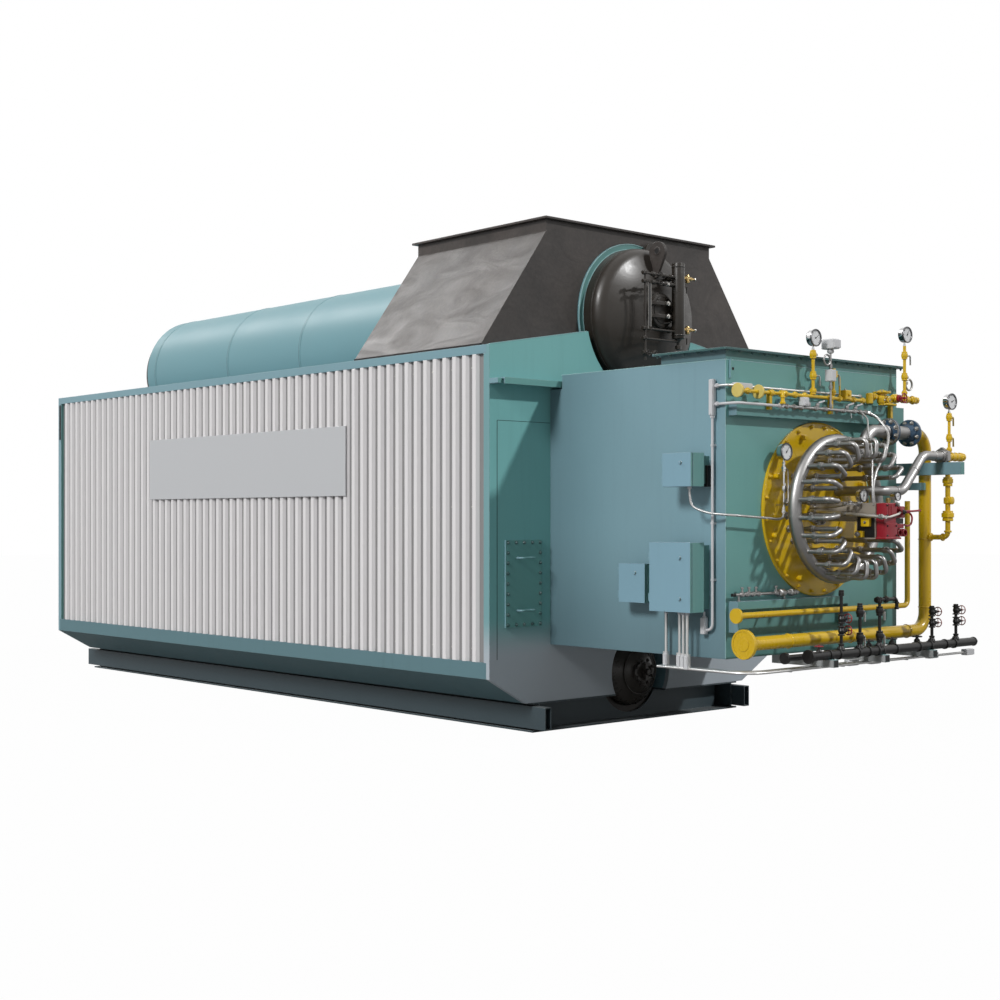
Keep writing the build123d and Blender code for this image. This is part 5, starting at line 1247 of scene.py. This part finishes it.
def buildDrumFittings():
    f = drumFacts
    x, y, glassX = f["x"], f["y"], f["glass"]
    black, brass, clear, tips = [], [], [], []
    black.append(turnedTo(lathe([(0.03, 0), (0.054, 0.004), (0.056, 0.01), (0.056, 0.65), (0.054, 0.656), (0.03, 0.66)],
                                36), (x, y, f["low"])))
    black += [turnedTo(bead(0.056, 0.008, 36), (x, y, z)) for z in (f["low"] + 0.03, f["high"] - 0.04)]
    black += placed(
        (lathe([(0.028, 0), (0.02, 0.02), (0.014, 0.03), (0.014, 0.09)], 20), (x, y, f["low"]), toDown),
        (nut(0.05, 0.03), (x, y, f["low"] - 0.085)))
    for z in (3.4, 3.845):
        reach = math.hypot(x, z - 3.5) - 0.017
        end = -3.798 - headFront(reach)
        black.append(tubeAlong([(x, y, z), (x, end - 0.0005, z)], 0.017, 18))
        black += placed(
            (rounded(0.03, 0.014), (x, y + 0.055, z), toRear),
            (union(0.018, 0.05), (x, y + 0.075, z), toRear))
    for z, x0, x1 in ((3.285, glassX, x), (3.37, glassX, x), (3.77, glassX, x), (3.84, glassX, x),
                      (3.16, glassX, glassX + 0.15)):
        black.append(tubeAlong([(x0 - 0.03, y, z), (x1, y, z)], 0.0095, 12))
        black.append(turnedTo(nut(0.032, 0.018), (x0 - 0.034, y, z), toRight))
    for z in (3.77, 3.84):
        for at in (-0.19, -0.06, 0.04):
            black.append(turnedTo(ballValve(0.014, 0.046), (at - 0.023, y, z), toRight))
        black.append(turnedTo(handwheel(0.022), (-0.125, y - 0.03, z), toFront))
        tips.append(tubeAlong([(-0.125, y, z), (-0.125, y - 0.03, z)], 0.005, 8))
    tips.append(turnedTo(union(0.013, 0.03), (-0.02, y, 3.77), toRight))
    black.append(tubeAlong([(glassX, y, 3.1), (glassX, y, 3.86)], 0.01, 14))
    for z in (3.28, 3.36, 3.76, 3.83):
        black.append(turnedTo(nut(0.034, 0.024), (glassX, y, z)))
    clear.append(tubeAlong([(glassX + 0.055, y, 3.38), (glassX + 0.055, y, 3.76)], 0.009, 14))
    for side in (-0.018, 0.018):
        tips.append(tubeAlong([(glassX + 0.055 + side, y, 3.37), (glassX + 0.055 + side, y, 3.77)], 0.003, 8))
    for z in (3.36, 3.755):
        black.append(turnedTo(nut(0.03, 0.03), (glassX + 0.055, y, z)))
    for at in (glassX, glassX + 0.09):
        black.append(turnedTo(merged([rounded(0.024, 0.05, 0.004, 16), turnedTo(handwheel(0.026), (0, 0, 0.06))]),
                              (at, y + 0.02, 3.16), toFront))
    for z in (3.4, 3.845):
        start = x + 0.0563
        brass += placed(
            (lathe([(0.013, 0), (0.013, 0.03), (0.019, 0.032), (0.019, 0.046), (0.013, 0.05), (0.013, 0.11),
                    (0.008, 0.114), (0.008, 0.165)], 16), (start, y, z), toRight),
            (nut(0.03, 0.016), (start + 0.008, y, z), toRight),
            (lathe([(0.008, 0), (0.018, 0.006), (0.02, 0.018), (0.014, 0.026), (0.014, 0.052), (0.02, 0.058),
                    (0.016, 0.072), (0.006, 0.076)], 16), (start + 0.064, y, z - 0.042)),
            (nut(0.03, 0.016), (start + 0.1, y, z), toRight))
        tips.append(turnedTo(lathe([(0.006, 0), (0.014, 0.004), (0.016, 0.012), (0.01, 0.02)], 14),
                             (start + 0.15, y, z), toRight))
        black.append(tubeAlong([(start + 0.056, y, z - 0.075), (start + 0.056, y, z - 0.13)], 0.006, 10))
    putPieces(
        ("waterColumn", black, "drum_black", "drum_black", "boiler", "water_column"),
        ("gaugeCocks", brass, "brass", "brass", "boiler", "gauge_cocks"),
        ("columnTips", tips, "boltSteel", "pipe_black"),
        ("gaugeGlass", clear, "gaugeGlass", "stainless"))


def buildManways():
    # front head: an oval cover, two arched yokes, studs, nuts and a handle; rear head: the cover alone; a seam on each
    front = -4.048
    oval = [(0.104 * math.cos(a), 0.119 * math.sin(a)) for a in np.linspace(0, 2 * math.pi, 36, endpoint=False)]
    seam = turnedTo(ringBand([(0.6118, -0.01), (0.6145, 0), (0.6118, 0.01), (0.608, 0)], 96), (0, -3.785, 3.5), toRear)
    black = [turnedTo(prism(oval, 0.018, 0.004), (0, front + 0.012, 3.55), toFront, toRight),
             turnedTo(ringBand([(0.118, 0), (0.14, 0), (0.14, 0.01), (0.118, 0.012)], 48), (0, front + 0.004, 3.55),
                      toFront)]
    steel = []
    for z in (3.495, 3.605):
        arch = [(-0.15, front + 0.002, z), (-0.125, front - 0.034, z), (-0.05, front - 0.05, z),
                (0.05, front - 0.05, z), (0.125, front - 0.034, z), (0.15, front + 0.002, z)]
        black.append(strip(smoothPath(arch, 24), 0.03, 0.014, (0, 0, 1)))
        steel += placed(
            (lathe([(0.01, 0), (0.01, 0.085)], 10), (0, front, z), toFront),
            (nut(0.036, 0.02), (0, front - 0.056, z), toFront))
    handle = smoothPath([(0.02, front - 0.006, 3.44), (0.06, front - 0.04, 3.45), (0.1, front - 0.006, 3.46)], 16)
    black += [tubeAlong(handle, 0.006, 8), seam]
    black += mirrored([turnedTo(prism(oval, 0.012, 0.004), (0, front + 0.022, 3.55), toFront, toRight), seam], -0.018)
    putPieces(
        ("manwayCovers", black, "drum_black", "drum_black"),
        ("manwayNuts", steel, "boltSteel", "pipe_black"))


def buildHandHoles():
    # on both lower drum heads: an oval ring with studs, and the yoke's nut
    tip = -3.818
    black = [copies(boltHead(0.024), circlePlaces((0, tip - 0.018, 0.42), 0.105, 8, 22.5), toFront, toRight),
             turnedTo(nut(0.05, 0.022), (0, tip - 0.055, 0.42), toFront),
             turnedTo(torus(0.2, 0.006, 56, 8), (0, -3.786, 0.42), toRear),
             turnedTo(ringBand([(0.3055, -0.01), (0.309, 0), (0.3055, 0.01), (0.302, 0)], 72), (0, -3.66, 0.42), toRear)]
    putPiece("handHoleStuds", black + mirrored(black, -0.018), "drum_black", "drum_black")


def buildLugs():
    # the paddle plate on the steam drum head, in the middle plane, and the plates on the windbox's front corners
    angle = np.radians(np.linspace(-25, 205, 30))
    paddle = [(-4.0 + 0.094 * math.cos(a), 4.06 + 0.092 * math.sin(a)) for a in angle]
    paddle += [(-4.035, 3.92), (-4.0, 3.845), (-3.97, 3.835), (-3.9, 3.9)]
    plate = prism(paddle, 0.03, 0.003)
    lug = (np.column_stack([plate[0][:, 2] - 0.015, plate[0][:, 0], plate[0][:, 1]]), plate[1])
    eye = turnedTo(collar(0.024, 0.036, 0, 0.036, 28), (-0.018, -4.0, 4.07), toRight)
    # painted shade: a dark plug fills the eye's bore
    hole = turnedTo(rounded(0.024, 0.032, 0.001, 28), (-0.0165, -4.0, 4.07), toRight)
    putPieces(
        ("drumLugPlate", [lug, eye], "hood_paint", "drum_black"),
        ("drumLugHole", [hole], "holeDark", "drum_black"))
    half = [(0.052 * math.cos(a), 0.066 * math.sin(a)) for a in np.linspace(-math.pi / 2, math.pi / 2, 22)]
    shells = [turnedTo(prism(half, 0.012, 0.002), (-1.045, -5.672, 2.867), toFront, toRight),
              slab((-1.057, -5.69, 2.795), (-1.045, -5.672, 2.94), 0.002)]
    # painted shade: a dark disc stands for the lug's hole
    holes = [turnedTo(rounded(0.012, 0.003, 0.0005, 20), (-1.025, -5.6825, 2.867), toFront)]
    putPieces(
        ("windboxLug", shells, "teal_paint", "teal_paint"),
        ("windboxLugHole", holes, "holeDark", "drum_black"))


buildPilotLine()
buildSteelLine()
buildBranch()
buildDrains()
buildActuator()
buildDrumFittings()
buildManways()
buildHandHoles()
buildLugs()
print("stage: small lines, drains, actuator and drum fittings")


# casing: access plate bolts, panel seams, lagging bands, edge strips, flange bolts, sheet screws

casingFacts = {
    "plate": {"x": (-1.604, -1.202), "z": (0.874, 1.583), "front": -3.812},
    "laggingSeams": (3.475, 1.87, 0.464, -0.965, -2.4), "laggingRadius": 0.669, "laggingZ": 3.5,
    "duct": {"x": 1.145, "front": -5.722, "z": 3.002}, "windbox": {"x": 1.095, "front": -5.672, "top": 2.937},
}


def buildAccessBolts():
    f = casingFacts["plate"]
    (x0, x1), (z0, z1), front = f["x"], f["z"], f["front"]
    xs, zs = np.linspace(x0 + 0.022, x1 - 0.022, 5), np.linspace(z0 + 0.022, z1 - 0.022, 9)
    places = [(x, front, z) for x in xs for z in (zs[0], zs[-1])] + [(x, front, z) for x in (xs[0], xs[-1])
                                                                     for z in zs[1:-1]]
    putPiece("accessBolts", [copies(boltHead(0.02), places, toFront, toRight)], "tealDark", "teal_shade")


def buildSeams():
    # dark joints between plates, a hair proud of the walls
    wall = -3.7985
    dark = [slab((x0, wall, z0), (x1, wall + 0.0004, z1), 0) for x0, x1, z0, z1 in (
        (-1.689, -1.683, 0.62, 2.547), (-1.683, -1.098, 2.545, 2.549),
        (1.683, 1.689, 0.62, 2.547), (1.098, 1.683, 2.545, 2.549))]
    dark.append(slab((-1.7696, 3.7, 2.67), (-1.7684, 3.74, 3.07), 0))
    putPiece("panelSeams", dark, "holeDark", "teal_shade")
    f = casingFacts
    x, front, top = f["windbox"]["x"], f["windbox"]["front"], f["windbox"]["top"]
    # painted highlights: pale strips along the windbox's top and front edges and along the casing's front top edge,
    # where light catches them
    pale = [slab((-x - 0.0015, front, top - 0.006), (-x + 0.003, -3.93, top), 0.001),
            slab((-x, front - 0.0015, top - 0.006), (x, front + 0.003, top), 0.001),
            slab((-x - 0.0015, front - 0.0015, 0.72), (-x + 0.003, front + 0.003, top), 0.001)]
    pale += [strip([(s * 1.764, -3.794, 3.157), (s * 1.2, -3.794, 3.253), (s * 0.668, -3.794, 3.3435)], 0.01, 0.005)
             for s in (-1, 1)]
    putPiece("highlightEdges", pale, "tealPale", "teal_paint")
    shade = [slab((x0, -3.9, 2.836), (x1, -3.7985, 2.878), 0.002) for x0, x1 in ((-1.768, -1.721), (1.721, 1.767))]
    dark = [slab((x0, -3.687, 3.15), (x1, -1.983, 3.17), 0.001) for x0, x1 in ((-1.7665, -1.757), (1.757, 1.7665))]
    putPiece("hoodFoot", dark, "holeDark", "hood_paint")
    f = casingFacts["duct"]
    edge = [slab((-f["x"] - 0.0005, f["front"] - 0.001, f["z"]), (f["x"] + 0.0005, f["front"] + 0.001, f["z"] + 0.017),
                 0), slab((-f["x"] - 0.001, f["front"], f["z"]), (-f["x"] + 0.001, -5.0, f["z"] + 0.017), 0)]
    putPieces(
        ("ductEdge", edge, "tealDark", "teal_paint"),
        ("ledgeEnds", shade, "teal_paint", "teal_paint"))


def buildLaggingBands():
    # rolled beads over the sheet's laps and the teal ring that closes its front end
    f = casingFacts
    r, z = f["laggingRadius"], f["laggingZ"]
    band = ringBand([(r - 0.001, -0.012), (r + 0.003, -0.01), (r + 0.004, 0.0), (r + 0.003, 0.01), (r - 0.001, 0.012)],
                    96)
    bands, lines = [[turnedTo(shell, (0, y, z), toRear) for y in f["laggingSeams"]]
                    for shell in (band, collar(r - 0.001, r + 0.0012, 0.012, 0.019, 96))]
    putPieces(
        ("laggingBands", bands, "lagging_sheet", "lagging_sheet"),
        ("laggingLaps", lines, "tealDark", "lagging_sheet"))
    ring = turnedTo(collar(0.612, 0.664, 0, 0.003, 96), (0, -3.6985, z), toFront)
    putPiece("laggingEndRing", [ring], "teal_shade", "lagging_sheet")
    # painted highlights: pale rims on the end ring's inner and outer edges, where light catches them
    rims = [turnedTo(collar(q - 0.004, q + 0.003, 0, 0.007, 96), (0, -3.6985, z), toFront) for q in (0.665, 0.618)]
    putPiece("laggingEndHighlightRims", rims, "tealPale", "lagging_sheet")


def buildFlangeBolts():
    # bolts on the duct's inlet flange and under the flue flange
    f = casingFacts["duct"]
    xs = np.linspace(-f["x"] + 0.03, f["x"] - 0.03, 16)
    ys = np.linspace(f["front"] + 0.03, -5.02, 6)[1:]
    places = [(x, f["front"] + 0.022, f["z"]) for x in xs] + [(s * (f["x"] - 0.022), y, f["z"]) for y in ys
                                                              for s in (-1, 1)]
    putPiece("ductBolts", [copies(boltHead(0.018), places, toDown, toRight)], "tealDark", "teal_paint")
    # painted shade: a flat dark ring round each end of the lower drum closes the gap between the drum and its opening,
    # where shade lies
    ring, back = [turnedTo(collar(0.3055, 0.415, 0, 0.008, 72), (0, side * 3.632, 0.42), (0, side, 0))
                  for side in (-1, 1)]
    putPiece("lowerDrumSeals", [ring, back], "drum_black", "drum_black")


def buildSheetScrews():
    # rows of screws along the top and foot of the ribbed walls, and round the sign board
    ys = np.arange(-3.55, 3.6, 0.252)
    left = [(-1.7395, y, z) for z in (0.7, 1.85, 2.98) for y in ys if not (1.9 < z < 2.6 and -1.9 < y < 1.65)]
    right = [(-x, y, z) for x, y, z in left]
    screw = lathe([(0.008, 0), (0.008, 0.002), (0.005, 0.0045)], 8)
    putPiece("sheetScrews", [copies(screw, left, toLeft), copies(screw, right, toRight)], "boltSteel", "galvanised")


# cabinets: latch discs, conduit hubs and lower conduit bodies

cabinetFacts = [
    {"body": "main_door", "x": -1.334, "y": (-5.535, -5.106), "z": (1.06, 1.578), "latch": (-5.435, (1.16, 1.464))},
    {"body": "upper_door", "x": -1.326, "y": (-5.535, -5.23), "z": (1.993, 2.243), "latch": (-5.435, (2.17,))},
    {"body": "small_door", "x": -1.256, "y": (-5.009, -4.713), "z": (1.11, 1.41), "latch": (-4.909, (1.34,))},
]


def buildCabinetTrim():
    for n, f in enumerate(cabinetFacts):
        y, heights = f["latch"]
        plates = [turnedTo(lathe([(0.013, 0), (0.013, 0.002), (0.01, 0.003)], 20), (f["x"] - 0.0002, y, z), toLeft)
                  for z in heights]
        slots = [slab((f["x"] - 0.012, y - 0.0015, z - 0.007), (f["x"] - 0.002, y + 0.0015, z + 0.007), 0)
                 for z in heights]
        putPiece("doorLatchPlates" + str(n), plates + slots, "boltSteel", "galvanised", f["body"])


def buildConduitTrim():
    # hub nuts where the upright conduits meet the cabinet, boxes at their feet, boxes along the run at the skid
    shells = []
    ys = (-5.138, -5.298, -5.358, -5.418)
    for n, y in enumerate(ys):
        x = -1.155 - 0.026 * n
        shells += placed(
            (nut(0.034, 0.014), (x, y, 1.0455)),
            (rounded(0.016, 0.012, 0.002, 16), (x, y, 1.033)))
        shells += conduitBody((x - 0.018, y - 0.018, 0.628), (x + 0.018, y + 0.018, 0.73), toLeft)
        shells.append(turnedTo(nut(0.03, 0.012), (x, y, 0.73)))
    for n, x in enumerate((0.17, 0.43, 1.2, 1.7)):
        y = -5.922 - 0.026 * n
        shells += conduitBody((x - 0.115, y - 0.026, 0.612), (x + 0.005, y + 0.026, 0.662), toFront)
        shells.append(turnedTo(nut(0.03, 0.012), (x - 0.097, y, 0.6357), toRight))
    for x in (-0.75, -0.1, 0.75):
        shells.append(slab((x - 0.008, -6.012, 0.6215), (x + 0.008, -5.91, 0.6265), 0.001))
    putPiece("conduitFittings", shells, "conduitWhite", "galvanised")
    # a small box beside the upper cabinet: it stands for the cabinet's mounting bracket, and its black is painted shade
    # for the dark recess there
    putPiece("upperCabinetShadeBox", [slab((-1.142, -5.536, 1.992), (-1.0952, -5.472, 2.152), 0.003)], "pipe_black",
             "pipe_black")


# support arms: pale tops as painted light, dark plates in their open ends as painted shade, and the riser clamps

def buildArmTrim():
    pale, dark = [], []
    for x in (-0.42, 0.24, 0.9):
        # painted light: a pale strip on each arm's top
        pale.append(slab((x - 0.0302, -6.166, 0.702), (x + 0.0302, -5.7, 0.7045), 0))
        # painted shade: a dark plate in each arm's open end
        dark.append(slab((x - 0.024, -6.1684, 0.652), (x + 0.024, -6.1678, 0.697), 0))
        loop = [(x, -6.108 - 0.038, 0.7), (x, -6.108 - 0.038, 0.7363), (x, -6.108, 0.7363 + 0.037),
                (x, -6.108 + 0.038, 0.7363), (x, -6.108 + 0.038, 0.7)]
        dark.append(tubeAlong(smoothPath(loop, 24), 0.005, 8))
    putPieces(
        ("armTopHighlights", pale, "tealPale", "teal_paint"),
        ("armEndShadeAndClamps", dark, "holeDark", "pipe_black"))


buildAccessBolts()
buildSeams()
buildLaggingBands()
buildFlangeBolts()
buildSheetScrews()
buildCabinetTrim()
buildConduitTrim()
buildArmTrim()
print("stage: casing, cabinet and conduit trim")


# floor, light and camera

stageSet = {"floorSize": 60.0, "floorColour": (0.27, 0.27, 0.27, 1), "worldLight": 0.17}


def buildStage():
    mesh = bpy.data.meshes.new("floor")
    s = stageSet["floorSize"]
    mesh.from_pydata([(-s, -s, -0.001), (s, -s, -0.001), (s, s, -0.001), (-s, s, -0.001)], [], [(0, 1, 2, 3)])
    floor = bpy.data.objects.new("floor", mesh)
    bpy.context.scene.collection.objects.link(floor)
    material, tree, shader = newMaterial("studioFloor")
    shade = mixColours(tree, cloudNoise(tree, 3.0), stageSet["floorColour"], (0.24, 0.24, 0.24, 1))
    fill(tree, shader, {"Roughness": 0.9, "Base Color": shade})
    glow = add(tree, "Emission", sockets={"Color": (1, 1, 1, 1), "Strength": 1.0})
    seen = add(tree, "LightPath").outputs["Is Camera Ray"]
    mix = add(tree, "MixShader", sockets={0: maths(tree, "MULTIPLY", seen, 0.985), 1: shader.outputs[0],
                                          2: glow.outputs[0]})
    tree.links.new(mix.outputs[0], tree.nodes["Material Output"].inputs["Surface"])
    mesh.materials.append(material)

    world = bpy.data.worlds.new("studio")
    bpy.context.scene.world = world
    world.use_nodes = True
    tree = world.node_tree
    tree.nodes.clear()
    path = add(tree, "LightPath").outputs
    seen = maths(tree, "MAXIMUM", path["Is Camera Ray"], maths(tree, "MAXIMUM", path["Is Glossy Ray"],
                                                               path["Is Transmission Ray"]))
    dim, white = [add(tree, "Background", sockets={"Color": (1, 1, 1, 1), "Strength": strength}).outputs[0]
                  for strength in (stageSet["worldLight"], 1.0)]
    mix = add(tree, "MixShader", sockets={0: seen, 1: dim, 2: white})
    add(tree, "OutputWorld", sockets={"Surface": mix.outputs[0]})


lamps = {
    "sideSun": {"strength": 2.3, "angle": 14, "from": (-1.0, -0.1, 0.68)},
    "frontSun": {"strength": 1.8, "angle": 3, "from": (0.55, -1.0, 0.9)},
    "rimSun": {"strength": 0.9, "angle": 12, "from": (-0.25, 0.75, 0.65)},
}


def buildLamps():
    for name, facts in lamps.items():
        light = bpy.data.lights.new(name, "SUN")
        light.energy = facts["strength"]
        light.angle = math.radians(facts["angle"])
        lamp = bpy.data.objects.new(name, light)
        x, y, z = facts["from"]
        lamp.rotation_euler = (math.atan2(math.hypot(x, y), z), 0, math.atan2(x, -y))
        bpy.context.scene.collection.objects.link(lamp)


viewFrom = {"place": (-10.0155, -13.146, 1.75), "heading": -41.81, "lens": 56.135, "shiftY": 0.0193}


def buildCamera():
    eye = bpy.data.cameras.new("photoView")
    eye.lens = viewFrom["lens"]
    eye.sensor_width = 36.0
    eye.shift_y = viewFrom["shiftY"]
    eye.clip_end = 200.0
    camera = bpy.data.objects.new("photoView", eye)
    camera.location = viewFrom["place"]
    camera.rotation_euler = (math.radians(90), 0, math.radians(viewFrom["heading"]))
    bpy.context.scene.collection.objects.link(camera)
    bpy.context.scene.camera = camera
    bpy.context.scene.view_settings.view_transform = "Standard"


buildStage()
buildLamps()
buildCamera()
print("stage: floor, lamps and camera")
